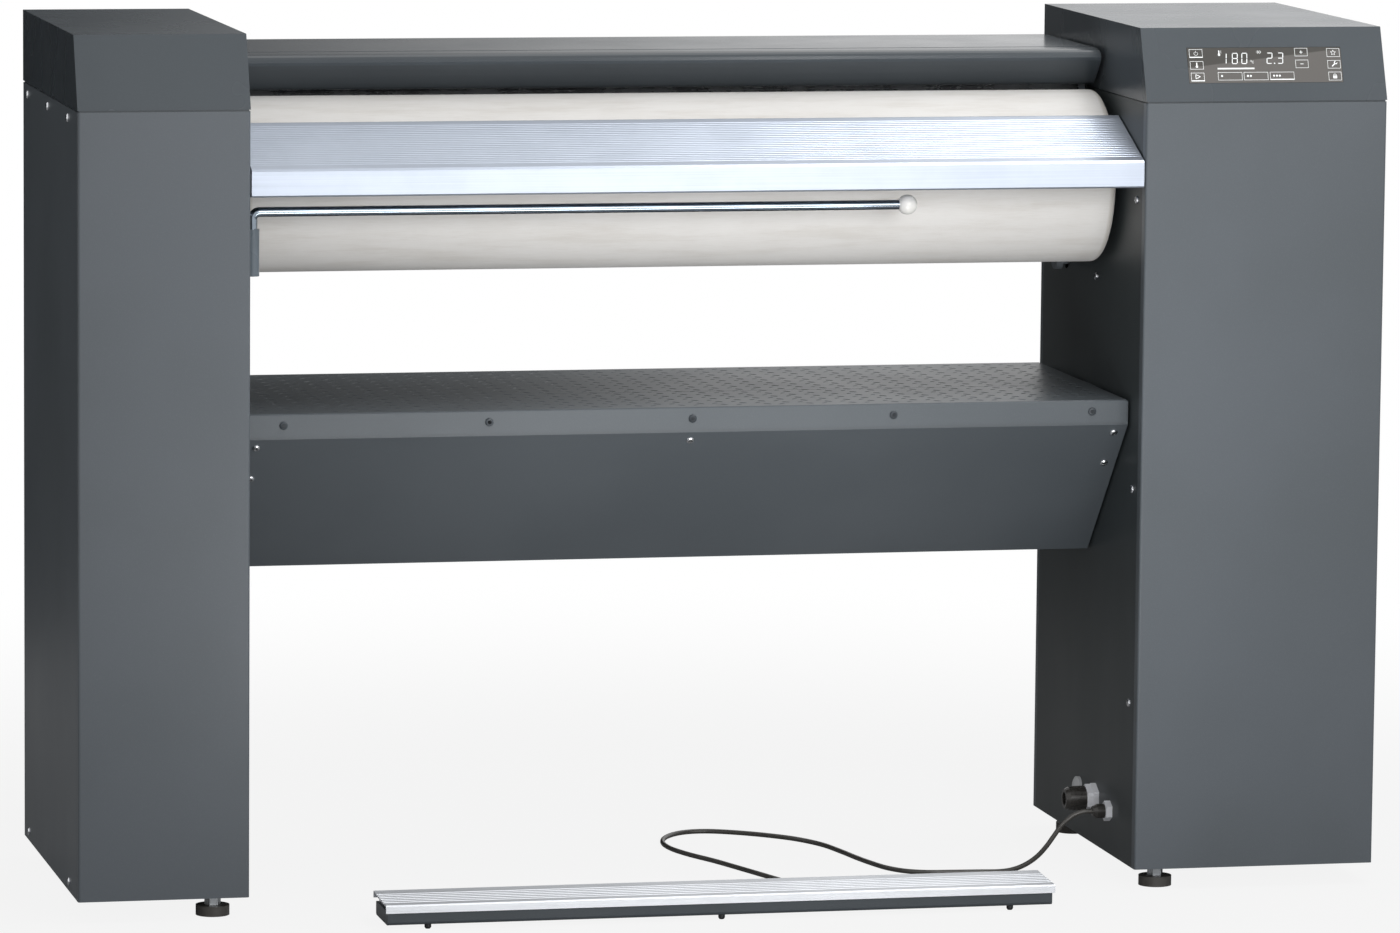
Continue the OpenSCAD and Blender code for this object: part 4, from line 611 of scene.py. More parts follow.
@dataclass
class Studio:
    """Camera at the photograph's angle, soft lamps, white surroundings and a pale floor, in metres.

    Attributes:
        eye: the camera's place.
        right: the picture's way to the right.
        up: the picture's way up.
        ahead: the camera's line of sight.
        lens: its focal length in millimetres.
        sensor: its sensor's width in millimetres.
        far_clip: how far the camera sees.
        lamps: the soft boxes.
        ambient: the surroundings' strength for all but seen and mirrored rays.
        floor_r: the floor's radius.
        floor_grey: the floor's own shade.
        fade: where the seen floor turns fully white.
        mirrored: where the mirrored floor turns fully white.
        near_seen: the white share of the floor under the machine, as seen.
        near_mirrored: the same in mirrors.
        flag_at: the flag's middle.
        flag_size: its width and height.
        flag_seam: the height where its lower part ends.
        lower_end: where its lower part thins out to the right.
        upper_end: where its upper part does.
        flag_cloth: its two shades.
    """

    eye: Vector = field(default_factory=lambda: Vector((-2.0472, -9.0246, 1.6752)))
    right: Vector = field(default_factory=lambda: Vector((0.975648, -0.219147, 0.009248)))
    up: Vector = field(default_factory=lambda: Vector((0.018575, 0.124559, 0.992038)))
    ahead: Vector = field(default_factory=lambda: Vector((0.218554, 0.967708, -0.125597)))
    lens: float = 198.262
    sensor: float = 36.0
    far_clip: float = 60.0
    lamps: tuple[Lamp, ...] = (
        Lamp("key", (0.9, -4.5, 1.75), (0.0, 0, 0.7), (2.0, 1.4), 76),
        Lamp("top", (0.8, -0.8, 2.5), (0.0, 0, 0.9), (1.2, 0.5), 16),
        Lamp("low_fill", (0.05, -1.35, 0.12), (0.05, 0, 0.8), (0.9, 0.3), 2.1, 80),
        Lamp("overhead", (1.6, 0.9, 2.6), (0.4, 0, 0.8), (1.6, 1.4), 14))
    ambient: float = 0.32
    floor_r: float = 6.0
    floor_grey: Colour = (0.36, 0.36, 0.36)
    fade: tuple[float, float] = (0.9, 2.6)
    mirrored: tuple[float, float] = (1.2, 5.5)
    near_seen: float = 0.88
    near_mirrored: float = 0.06
    flag_at: Vector = field(default_factory=lambda: Vector((-1.1, 2.0, 1.1)))
    flag_size: tuple[float, float] = (4.8, 2.2)
    flag_seam: float = 1.08
    lower_end: tuple[float, float] = (0.1, 0.6)
    upper_end: tuple[float, float] = (-0.8, 1.2)
    flag_cloth: tuple[Colour, Colour] = (shade("1c1e20"), shade("26292b"))

    def set_camera(self) -> None:
        """Makes the camera and makes it the scene's own."""
        data = bpy.data.cameras.new("view")
        data.lens, data.sensor_width, data.sensor_fit = self.lens, self.sensor, "HORIZONTAL"
        data.clip_end = self.far_clip
        made = bpy.data.objects.new("view", data)
        turn = Matrix((self.right, self.up, -self.ahead)).transposed().to_4x4()
        made.matrix_world = Matrix.Translation(self.eye) @ turn
        bpy.context.scene.collection.objects.link(made)
        bpy.context.scene.camera = made

    def light(self) -> None:
        """Sets the lamps and the surroundings."""
        for lamp in self.lamps:
            lamp.hang()
        world = bpy.data.worlds.new("surroundings")
        world.use_nodes = True
        tree = world.node_tree
        tree.nodes.clear()
        path = tree.nodes.new("ShaderNodeLightPath")
        seen = path.outputs["Is Camera Ray"]
        for extra in ("Is Glossy Ray", "Is Transmission Ray"):
            both = tree.nodes.new("ShaderNodeMath")
            both.operation = "MAXIMUM"
            tree.links.new(seen, both.inputs[0])
            tree.links.new(path.outputs[extra], both.inputs[1])
            seen = both.outputs[0]
        level = tree.nodes.new("ShaderNodeMapRange")
        level.inputs["To Min"].default_value = self.ambient
        tree.links.new(seen, level.inputs["Value"])
        back = tree.nodes.new("ShaderNodeBackground")
        tree.links.new(level.outputs[0], back.inputs["Strength"])
        back.inputs["Color"].default_value = (1, 1, 1, 1)
        out = tree.nodes.new("ShaderNodeOutputWorld")
        tree.links.new(back.outputs[0], out.inputs["Surface"])
        bpy.context.scene.world = world
        bpy.context.scene.view_settings.view_transform = "Standard"

    def hang_flag(self) -> None:
        """Hangs a dark cloth behind the machine, seen only in its gloss, so that its sides stay dark.

        It thins out to the right, which gives the shelf, the hood and the caps their soft gradient.
        """
        bm = bmesh.new()
        size = Matrix.Diagonal((*self.flag_size, 1, 1))
        place = Matrix.Translation(self.flag_at) @ Matrix.Rotation(math.radians(90), 4, "X") @ size
        bmesh.ops.create_grid(bm, x_segments=1, y_segments=1, size=0.5, matrix=place)
        mesh = bpy.data.meshes.new("flag")
        bm.to_mesh(mesh)
        bm.free()
        made = bpy.data.objects.new("flag", mesh)
        bpy.context.scene.collection.objects.link(made)
        made.visible_camera = made.visible_diffuse = made.visible_shadow = made.visible_transmission = False
        r = Recipe("flag")
        weave = r.grain(r.place(), 400.0, 2.0)
        x, upper = r.axis("X"), r.axis("Z") > self.flag_seam
        gone = upper * x.ramp(*self.upper_end) + (1 - upper) * x.ramp(*self.lower_end)
        cloth = r.node("BsdfDiffuse", {}, {"Color": r.mix(weave, *self.flag_cloth)})
        clear = r.node("BsdfTransparent")
        both = r.node("MixShader", {}, {0: gone, 1: cloth, 2: clear})
        end = r.tree.nodes.new("ShaderNodeOutputMaterial")
        r.tree.links.new(both.socket, end.inputs["Surface"])
        mesh.materials.append(r.material)

    def lay_floor(self) -> None:
        """Lays a pale round floor that fades into the white surroundings."""
        bm = bmesh.new()
        bmesh.ops.create_circle(bm, cap_ends=True, segments=96, radius=self.floor_r)
        mesh = bpy.data.meshes.new("floor")
        bm.to_mesh(mesh)
        bm.free()
        made = bpy.data.objects.new("floor", mesh)
        bpy.context.scene.collection.objects.link(made)
        r = Recipe("floor")
        x, y = r.axis("X"), r.axis("Y")
        reach = (x * x + y * y) ** 0.5
        away, far = reach.ramp(*self.fade), reach.ramp(*self.mirrored)
        path = [r.node("LightPath", output=f"Is {k} Ray") for k in ("Camera", "Glossy", "Transmission")]
        seen = r.node("Math", {"operation": "MAXIMUM"}, {0: path[0], 1: path[1]})
        seen = r.node("Math", {"operation": "MAXIMUM"}, {0: seen, 1: path[2]})
        plain = r.node("BsdfDiffuse", {}, {"Color": (*self.floor_grey, 1)})
        white = r.node("Emission", {}, {"Color": (1, 1, 1, 1), "Strength": 1.0})
        share = (path[0] * (self.near_seen + (1 - self.near_seen) * away)
                 + (seen - path[0]) * (self.near_mirrored + (1 - self.near_mirrored) * far))
        both = r.node("MixShader", {}, {0: share, 1: plain, 2: white})
        end = r.tree.nodes.new("ShaderNodeOutputMaterial")
        r.tree.links.new(both.socket, end.inputs["Surface"])
        mesh.materials.append(r.material)


@dataclass
class SwitchCable:
    """The foot switch's cable, along the same points as its CAD solid, in millimetres."""

    route: tuple[tuple[float, float, float], ...] = (
        (470, -70.5, 79.5), (458, -70.5, 79), (445, -70, 74), (433, -69, 64), (424, -67, 51), (415, -64, 37),
        (405, -59, 24), (393, -54, 14), (379, -49, 7), (362, -44, 3.5), (335, -39, 3), (302, -36, 3),
        (272, -32, 3), (250, -20, 3), (235, 0, 3), (225, 26, 3), (213, 75, 3), (203, 130, 3), (191, 180, 3),
        (168, 224, 3), (137, 257, 3), (105, 281, 3), (74, 296, 3), (47, 296, 3), (25, 282, 3), (8, 257, 3),
        (-1, 227, 3), (-2, 197, 3), (3, 168, 3), (15, 132, 3), (34, 88, 3), (54, 32, 3), (74, -26, 3),
        (92, -80, 3), (105, -126, 3.5), (112, -152, 6), (115, -170, 10), (115, -179.5, 13.8))
    diameter: float = 6.0
    length: float = 1.181

    def build(self, finish: Finish) -> None:
        """Args:
            finish: the sheath's finish.
        """
        line = bpy.data.curves.new("cable_sheath", "CURVE")
        line.dimensions = "3D"
        line.bevel_depth = self.diameter / 2 * MM
        line.bevel_resolution = 4
        line.resolution_u = 5
        line.use_fill_caps = True
        spline = line.splines.new("BEZIER")
        points = [Vector(p) * MM for p in self.route]
        spline.bezier_points.add(len(points) - 1)
        for i, p in enumerate(points):
            before, after = points[max(i - 1, 0)], points[min(i + 1, len(points) - 1)]
            knot = spline.bezier_points[i]
            knot.handle_left_type = knot.handle_right_type = "FREE"
            knot.co = p
            knot.handle_left = p - (after - before) / 6
            knot.handle_right = p + (after - before) / 6
        made = bpy.data.objects.new("cable_sheath", line)
        bpy.context.scene.collection.objects.link(made)
        line.materials.append(RACK.take(finish))
        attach(made, "root")
        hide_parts("switch_cable")
        log.info("cable_sheath: %d points", len(points))


@dataclass
class RollerCovering:
    """The roller's cotton cover, pulled over wool padding, both made on the space of their solids, in millimetres.

    Attributes:
        cloth_t: the cover's thickness.
        shoulder: the radius of its rounded ends.
        turned_in: where the cover's turned-in hem ends, as a share of the roller's radius.
        turns: steps round the roller.
        pulls: steps of the cover along it.
        wool_pulls: steps of the padding along it.
        sag: the cover's largest dip.
        give: the padding's largest dip.
        slack: the padding's clearance on the tube.
        fill: how full the padding is; not used.
    """

    cloth_t: float = 1.6
    shoulder: float = 7.0
    turned_in: float = 0.62
    turns: int = 160
    pulls: int = 150
    wool_pulls: int = 60
    sag: float = 0.35
    give: float = 0.5
    slack: float = 0.2
    fill: float = 0.9

    def _sizes(self, node: str) -> tuple[float, float, float, Vector]:
        """Reads a turned node's place.

        Args:
            node: the CAD node.

        Returns:
            Its two ends on X, its outer radius and its middle, in metres.
        """
        low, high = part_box(node)
        return low.x, high.x, (high.z - low.z) / 2, (low + high) / 2

    def _spun(self, profile: Sequence[tuple[float, float]], middle: Vector, closed: bool) -> bmesh.types.BMesh:
        """Spins a profile about the roller's axis.

        Args:
            profile: pairs of place on X and radius, in metres.
            middle: a point on the axis.
            closed: whether the profile's ends are joined.

        Returns:
            The turned shape.
        """
        bm = bmesh.new()
        row = [bm.verts.new((x, middle.y, middle.z + r)) for x, r in profile]
        links = [bm.edges.new(pair) for pair in zip(row, row[1:])]
        if closed:
            links.append(bm.edges.new((row[-1], row[0])))
        bmesh.ops.spin(bm, geom=row + links, cent=middle, axis=(1, 0, 0), angle=math.tau, steps=self.turns,
                       use_merge=True)
        return bm

    def _crease(self, bm: bmesh.types.BMesh, middle: Vector, depth: float, coarse: Vector) -> None:
        """Lowers the surface a little where the cloth or wool gives.

        Args:
            bm: the turned shape.
            middle: a point on the axis.
            depth: the largest drop in metres.
            coarse: how many waves a metre holds on each axis.
        """
        for v in bm.verts:
            out = Vector((0, v.co.y - middle.y, v.co.z - middle.z))
            give = noise.noise(Vector((v.co.x * coarse.x, v.co.y * coarse.y, v.co.z * coarse.z)))
            v.co -= out.normalized() * depth * (0.5 + 0.5 * give)

    def cover(self, finish: RollerCotton) -> None:
        """Makes the cotton cover.

        Args:
            finish: its finish.
        """
        x0, x1, r, middle = self._sizes("roller_cloth")
        s = self.shoulder * MM
        hem = r * self.turned_in
        bend = [(s - s * math.sin(a), r - s + s * math.cos(a)) for a in
                (math.radians(90 * k / 7) for k in range(7, 0, -1))]
        left = [(x0, hem)] + [(x0 + d, q) for d, q in bend]
        steps = [x0 + s + (x1 - x0 - 2 * s) * k / self.pulls for k in range(self.pulls + 1)]
        bm = self._spun(left + [(x, r) for x in steps] + [(x0 + x1 - x, q) for x, q in reversed(left)], middle, False)
        bmesh.ops.remove_doubles(bm, verts=bm.verts[:], dist=MERGE)
        bmesh.ops.recalc_face_normals(bm, faces=bm.faces[:])
        self._crease(bm, middle, self.sag * MM, Vector((5, 38, 38)))
        bmesh.ops.solidify(bm, geom=bm.faces[:], thickness=self.cloth_t * MM)
        cloth = bm.loops.layers.uv.new("cloth")
        for face in bm.faces:
            turns = [math.atan2(loop.vert.co.y - middle.y, loop.vert.co.z - middle.z) for loop in face.loops]
            crosses = max(turns) - min(turns) > math.pi
            for loop, turn in zip(face.loops, turns):
                turn += math.tau if crosses and turn < 0 else 0
                loop[cloth].uv = (loop.vert.co.x - x0, turn * r)
        made = hand_over("cotton_cover", bm, finish, "roller", ["roller_cloth"], 50, False)

    def pad(self, finish: WoolFelt) -> None:
        """Makes the wool padding.

        Args:
            finish: its finish.
        """
        x0, x1, r, middle = self._sizes("roller_padding")
        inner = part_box("roller_tube")
        bore = (inner[1].z - inner[0].z) / 2 + self.slack * MM
        s = self.shoulder * 0.8 * MM
        steps = [x0 + s + (x1 - x0 - 2 * s) * k / self.wool_pulls for k in range(self.wool_pulls + 1)]
        bend = [(x0 + s - s * math.sin(a), r - s + s * math.cos(a)) for a in
                (math.radians(90 * k / 4) for k in range(4, 0, -1))]
        outer = bend + [(x, r) for x in steps] + [(x0 + x1 - x, q) for x, q in reversed(bend)]
        bm = self._spun([(x0, bore)] + outer + [(x1, bore)], middle, True)
        bmesh.ops.remove_doubles(bm, verts=bm.verts[:], dist=MERGE)
        self._crease(bm, middle, self.give * MM, Vector((30, 30, 30)))
        made = hand_over("wool_padding", bm, finish, "roller", ["roller_padding"], 60)


@dataclass
class PanHeads:
    """Pan-head screws with a star recess, one on each head of the CAD group.

    Attributes:
        rings: share of the radius and share of the height, from the rim to the crown.
        recess: share of the radius that the star takes.
        recess_floor: its floor's share of that radius, and its height's share.
        notch: share of the star's radius between its points.
        segments: sides of a head.
    """

    rings: tuple[tuple[float, float], ...] = ((1.0, 0.28), (0.94, 0.55), (0.78, 0.82), (0.56, 1.0))
    recess: float = 0.44
    recess_floor: tuple[float, float] = (0.94, 0.45)
    notch: float = 0.76
    segments: int = 24

    def _heads(self) -> list[tuple[Vector, Vector, float, float]]:
        """Finds the heads of the CAD group.

        Returns:
            For each head its seat, the way it points, its radius and its height.
        """
        bm = bmesh.new()
        bm.from_mesh(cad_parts["panel_screws"].data)
        bmesh.ops.remove_doubles(bm, verts=bm.verts[:], dist=MERGE)
        found, left = [], set(bm.verts)
        while left:
            pile, isle = [left.pop()], []
            while pile:
                v = pile.pop()
                isle.append(v.co.copy())
                near = [e.other_vert(v) for e in v.link_edges]
                pile += [n for n in near if n in left]
                left.difference_update(near)
            spots = numpy.array(isle)
            middle = (spots.max(0) + spots.min(0)) / 2
            ways = numpy.linalg.eigh(numpy.cov((spots - spots.mean(0)).T))[1]
            normal = ways[:, 0]
            along = (spots - middle) @ normal
            off = numpy.linalg.norm((spots - middle) - numpy.outer(along, normal), axis=1)
            if along[off > off.max() * 0.98].mean() > along.mean():
                normal, along = -normal, -along
            seat = Vector(middle) + Vector(normal) * float(along.min())
            found.append((seat, Vector(normal), float(off.max()), float(along.max() - along.min())))
        bm.free()
        return found

    def _head(self, bm: bmesh.types.BMesh, seat: Vector, way: Vector, radius: float, height: float) -> None:
        """Adds one head.

        Args:
            bm: the mesh that it joins.
            seat: the middle of its seat.
            way: the way it points.
            radius: its radius.
            height: its height.
        """
        verts = bmesh.ops.create_circle(bm, cap_ends=True, segments=self.segments, radius=radius)["verts"]
        every, face, lift, size = set(verts), verts[0].link_faces[0], 0.0, 1.0
        steps = [(share, rise * height) for share, rise in self.rings]
        narrow, deep = self.recess_floor
        steps += [(self.recess, height), (self.recess * narrow, height * deep)]
        for number, (share, rise) in enumerate(steps):
            top = bmesh.ops.extrude_face_region(bm, geom=[face])["geom"]
            fresh = [g for g in top if isinstance(g, bmesh.types.BMVert)]
            face = [g for g in top if isinstance(g, bmesh.types.BMFace)][0]
            bmesh.ops.scale(bm, verts=fresh, vec=(share / size, share / size, 1))
            bmesh.ops.translate(bm, verts=fresh, vec=(0, 0, rise - lift))
            if number == len(self.rings):
                star = [v for v in fresh if round(math.atan2(v.co.y, v.co.x) / math.tau * self.segments) % 4 < 2]
                bmesh.ops.scale(bm, verts=star, vec=(self.notch, self.notch, 1))
            lift, size = rise, share
            every.update(fresh)
        turn = way.to_track_quat("Z", "Y").to_matrix().to_4x4()
        bmesh.ops.transform(bm, verts=list(every), matrix=Matrix.Translation(seat) @ turn)

    def build(self, bright: Finish, painted: Finish) -> None:
        """Makes the bright heads and the painted ones of the shelf's lip.

        Args:
            bright: the finish of plated heads.
            painted: the finish of painted heads.
        """
        plated, coated = bmesh.new(), bmesh.new()
        for seat, way, radius, height in self._heads():
            self._head(coated if way.y < -0.99 else plated, seat, way, radius, height)
        hand_over("plated_screws", plated, bright, "root", ["panel_screws"], 35)
        hand_over("lip_screws", coated, painted, "root", ["panel_screws"], 35)


@dataclass
class ShelfTread:
    """Raised dashes pressed into the shelf, in zigzag columns of two slants, in millimetres.

    Attributes:
        column: distance between two zigzag columns along the shelf.
        row: distance between two rows across the shelf.
        zig: sideways step between the two slants of a column.
        length: a dash's length.
        width: a dash's width.
        height: a dash's height.
        slant: a dash's turn from the shelf's length, in degrees.
        margin: the plain border.
        sunk: how deep a dash's foot lies in the shelf.
        domes: length, width and height shares of its two upper rings.
    """

    column: float = 26.25
    row: float = 15.2
    zig: float = 8.1
    length: float = 12.0
    width: float = 3.4
    height: float = 0.45
    slant: float = 42.0
    margin: float = 11.0
    sunk: float = 0.1
    domes: tuple[tuple[float, float, float], ...] = ((0.86, 0.74, 0.6), (0.55, 0.3, 1.0))

    def _dash(self, bm: bmesh.types.BMesh, x: float, y: float, z: float, turn: float) -> None:
        """Adds one dash.

        Args:
            bm: the mesh that it joins.
            x: its place along the shelf.
            y: its place across the shelf.
            z: the shelf's top.
            turn: its slant in radians.
        """
        verts = bmesh.ops.create_circle(bm, cap_ends=True, segments=10, radius=0.5)["verts"]
        every, face, wide, lift = list(verts), verts[0].link_faces[0], Vector((1, 1)), 0.0
        for share, rise in ((Vector(d[:2]), d[2]) for d in self.domes):
            top = bmesh.ops.extrude_face_region(bm, geom=[face])["geom"]
            fresh = [g for g in top if isinstance(g, bmesh.types.BMVert)]
            face = [g for g in top if isinstance(g, bmesh.types.BMFace)][0]
            bmesh.ops.scale(bm, verts=fresh, vec=(share.x / wide.x, share.y / wide.y, 1))
            bmesh.ops.translate(bm, verts=fresh, vec=(0, 0, rise - lift))
            every, wide, lift = every + fresh, share, rise
        size = Matrix.Diagonal((self.length * MM, self.width * MM, (self.height + self.sunk) * MM, 1))
        where = Matrix.Translation((x, y, z - self.sunk * MM)) @ Matrix.Rotation(turn, 4, "Z") @ size
        bmesh.ops.transform(bm, verts=every, matrix=where)

    def build(self, finish: Finish) -> None:
        """Makes all dashes.

        Args:
            finish: the shelf's paint.
        """
        low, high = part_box("shelf_plate")
        bm = bmesh.new()
        clear = (self.margin + self.length / 2) * MM
        columns = int((high.x - low.x - 2 * clear - self.zig * MM) / (self.column * MM))
        rows = int((high.y - low.y - 2 * clear) / (self.row * MM)) + 1
        x0 = (low.x + high.x - (columns * self.column + self.zig) * MM) / 2
        y0 = (low.y + high.y - (rows - 1) * self.row * MM) / 2
        for k in range(columns + 1):
            for row in range(rows):
                side = (row + k) % 2
                turn = math.radians(-self.slant if side else self.slant)
                self._dash(bm, x0 + (k * self.column + side * self.zig) * MM, y0 + row * self.row * MM, high.z, turn)
        hand_over("shelf_tread", bm, finish, "root", (), 50)


@dataclass
class DisplayPrint:
    """White line figures on the touch glass, drawn in millimetres from its lower left corner.

    Attributes:
        line: the width of a key's outline.
        heavy: the width of a figure's parts.
        gap: how far the print lies off the glass.
        thick: its thickness.
        slope: the glass's own place and turn.
        width: the glass's width.
        height: its height up the slope.
        bm: the print's shape.
    """

    line: float = 0.4
    heavy: float = 0.95
    gap: float = 0.03
    thick: float = 0.08
    slope: Matrix = field(default_factory=Matrix)
    width: float = 0.0
    height: float = 0.0
    bm: bmesh.types.BMesh = field(default_factory=bmesh.new)

    def lay_out(self) -> None:
        """Finds the glass's outer face."""
        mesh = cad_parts["display_glass"].data
        face = max((p for p in mesh.polygons if p.normal.y < -0.5), key=lambda p: p.area)
        normal = face.normal.copy()
        along = Vector((1, 0, 0))
        up = normal.cross(along)
        spots = [v.co for v in mesh.vertices if abs((v.co - mesh.vertices[face.vertices[0]].co).dot(normal)) < 1e-5]
        corner = min(spots, key=lambda p: p.dot(along) + p.dot(up))
        far = max(spots, key=lambda p: p.dot(along) + p.dot(up))
        self.width, self.height = (far - corner).dot(along) / MM, (far - corner).dot(up) / MM
        turn = Matrix((along, up, normal)).transposed().to_4x4()
        self.slope = Matrix.Translation(corner) @ turn @ Matrix.Scale(MM, 4)

    def bar(self, x0: float, y0: float, x1: float, y1: float) -> None:
        """Adds a filled rectangle.

        Args:
            x0: its left side.
            y0: its lower side.
            x1: its right side.
            y1: its upper side.
        """
        spot = Matrix.Translation(((x0 + x1) / 2, (y0 + y1) / 2, 0)) @ Matrix.Diagonal((x1 - x0, y1 - y0, 1, 1))
        bmesh.ops.create_grid(self.bm, x_segments=1, y_segments=1, size=0.5, matrix=spot)

    def box(self, x0: float, y0: float, x1: float, y1: float, foot: bool = False) -> None:
        """Adds a key's outline.

        Args:
            x0: its left side.
            y0: its lower side.
            x1: its right side.
            y1: its upper side.
            foot: whether its lower line is heavy, for a lit key.
        """
        t = self.line
        self.bar(x0, y1 - t, x1, y1)
        self.bar(x0, y0, x1, y0 + (3 * t if foot else t))
        self.bar(x0, y0, x0 + t, y1)
        self.bar(x1 - t, y0, x1, y1)

    def disc(self, x: float, y: float, r: float, sides: int = 16) -> None:
        """Adds a filled disc.

        Args:
            x: its middle along the glass.
            y: its middle up the glass.
            r: its radius.
            sides: its number of sides.
        """
        bmesh.ops.create_circle(self.bm, cap_ends=True, segments=sides, radius=r, matrix=Matrix.Translation((x, y, 0)))

    def arc(self, x: float, y: float, r: float, start: float, end: float, wide: float | None = None) -> None:
        """Adds a part of a ring.

        Args:
            x: its middle along the glass.
            y: its middle up the glass.
            r: its middle radius.
            start: the first angle in degrees.
            end: the last angle in degrees.
            wide: the line's width.
        """
        half = (wide or self.line) / 2
        first = math.radians(start)
        way = Vector((math.cos(first), math.sin(first), 0))
        ends = [self.bm.verts.new(Vector((x, y, 0)) + way * q) for q in (r - half, r + half)]
        edge = self.bm.edges.new(ends)
        bmesh.ops.spin(self.bm, geom=ends + [edge], cent=(x, y, 0), axis=(0, 0, 1), use_merge=end - start == 360,
                       angle=math.radians(end - start), steps=max(4, int((end - start) / 20)))

    def stroke(self, x0: float, y0: float, x1: float, y1: float, wide: float | None = None) -> None:
        """Adds a straight line.

        Args:
            x0: its start along the glass.
            y0: its start up the glass.
            x1: its end along the glass.
            y1: its end up the glass.
            wide: its width.
        """
        way = Vector((x1 - x0, y1 - y0, 0))
        turn = Matrix.Rotation(math.atan2(way.y, way.x), 4, "Z")
        size = Matrix.Diagonal((way.length, wide or self.line, 1, 1))
        spot = Matrix.Translation(((x0 + x1) / 2, (y0 + y1) / 2, 0)) @ turn @ size
        bmesh.ops.create_grid(self.bm, x_segments=1, y_segments=1, size=0.5, matrix=spot)

    def figure(self, lit: str, x: float, y: float, wide: float, tall: float, lean: float = 0.09) -> None:
        """Adds a seven-part figure.

        Args:
            lit: the lit parts, from a to g.
            x: its left side.
            y: its lower side.
            wide: its width.
            tall: its height.
            lean: how far it leans over its height.
        """
        t = self.heavy
        half = tall / 2
        spots = {"a": (0, tall, wide, tall), "b": (wide, half, wide, tall), "c": (wide, 0, wide, half),
                 "d": (0, 0, wide, 0), "e": (0, 0, 0, half), "f": (0, half, 0, tall), "g": (0, half, wide, half)}
        for part in lit:
            x0, y0, x1, y1 = spots[part]
            short = 0.45 * t
            way = Vector((x1 - x0, y1 - y0)).normalized() * short
            x0, y0, x1, y1 = x0 + way.x, y0 + way.y, x1 - way.x, y1 - way.y
            self.stroke(x + x0 + lean * y0, y + y0, x + x1 + lean * y1, y + y1, t)

    def _keys(self) -> None:
        """Draws the keys and their signs."""
        w, h, t = self.width, self.height, self.line
        left, right = (0.014 * w, 0.1 * w), (0.908 * w, 0.992 * w)
        rows = ((0.72 * h, 0.96 * h), (0.39 * h, 0.62 * h), (0.05 * h, 0.29 * h))
        for number, (low, high) in enumerate(rows):
            self.box(left[0], low, left[1], high, number != 1)
            self.box(right[0], low, right[1], high)
        x = sum(left) / 2
        mid = [(low + high) / 2 for low, high in rows]
        self.arc(x, mid[0], 2.3, 125, 415)
        self.stroke(x, mid[0] + 0.6, x, mid[0] + 3.4)
        self.disc(x, mid[1] - 1.6, 1.5)
        self.bar(x - 0.7, mid[1] - 1, x + 0.7, mid[1] + 3.4)
        self.stroke(x - 2.4, mid[2] - 2.4 + t, x - 2.4, mid[2] + 3.2, 0.7)
        self.stroke(x - 2.4, mid[2] + 3.2, x + 3.2, mid[2] + 0.5, 0.7)
        self.stroke(x - 2.4, mid[2] - 2.2, x + 3.2, mid[2] + 0.5, 0.7)
        x = sum(right) / 2
        for k in range(5):
            tip, dip, nxt = (math.radians(90 + 72 * k + d) for d in (0, 36, 72))
            at = [(x + q * math.cos(a), mid[0] + q * math.sin(a)) for q, a in ((3.4, tip), (1.5, dip), (3.4, nxt))]
            self.stroke(*at[0], *at[1])
            self.stroke(*at[1], *at[2])
        self.stroke(x - 2.6, mid[1] - 2.6, x + 1.6, mid[1] + 1.6, 1.3)
        self.arc(x + 2.2, mid[1] + 2.2, 1.7, 90, 360, 0.9)
        self.bar(x - 2.4, mid[2] - 2.8, x + 2.4, mid[2] + 0.6)
        self.arc(x, mid[2] + 0.9, 1.7, 0, 180, 0.6)
        for low, high, sign in ((0.745 * h, 0.975 * h, 1), (0.41 * h, 0.64 * h, 0)):
            self.box(0.699 * w, low, 0.783 * w, high)
            x, y = 0.741 * w, (low + high) / 2
            self.stroke(x - 2, y, x + 2, y, 0.7)
            if sign:
                self.stroke(x, y - 2, x, y + 2, 0.7)
        for k, start in enumerate((0.189, 0.357, 0.527)):
            self.box(start * w, 0.075 * h, (start + 0.157) * w, 0.3 * h, k == 2)
            for n in range(k + 1):
                self.disc((start + 0.025 + 0.019 * n) * w, 0.195 * h, 1.25)

    def _readings(self) -> None:
        """Draws the temperature, the speed and the bar under them."""
        w, h = self.width, self.height
        self.bar(0.19 * w, 0.385 * h, 0.429 * w, 0.425 * h)
        low, tall, wide = 0.545 * h, 13.0, 6.2
        for lit, start in (("bc", 0.216), ("abcdefg", 0.288), ("abcdef", 0.35), ("abged", 0.514)):
            self.figure(lit, start * w, low, wide, tall)
        self.disc(0.563 * w, low, 0.9)
        self.figure("abgcd", 0.584 * w, low, wide, tall)
        self.arc(0.411 * w, 0.62 * h, 0.7, 0, 360, 0.3)
        self.arc(0.424 * w, 0.585 * h, 1.3, 50, 310, 0.4)
        x, y = 0.207 * w, 0.8 * h
        self.disc(x, y, 1.5)
        self.bar(x - 0.6, y, x + 0.6, y + 5.4)
        for k in range(3):
            self.stroke(x + 1.6, y + 2.2 + 1.3 * k, x + 3.0, y + 2.2 + 1.3 * k, 0.35)
        x, y = 0.456 * w, 0.87 * h
        for k in range(2):
            self.stroke(x + 2.6 * k, y - 1.9, x + 2 + 2.6 * k, y, 0.5)
            self.stroke(x + 2.6 * k, y + 1.9, x + 2 + 2.6 * k, y, 0.5)
        self.stroke(x - 1.5, y, x + 1.5, y, 0.4)

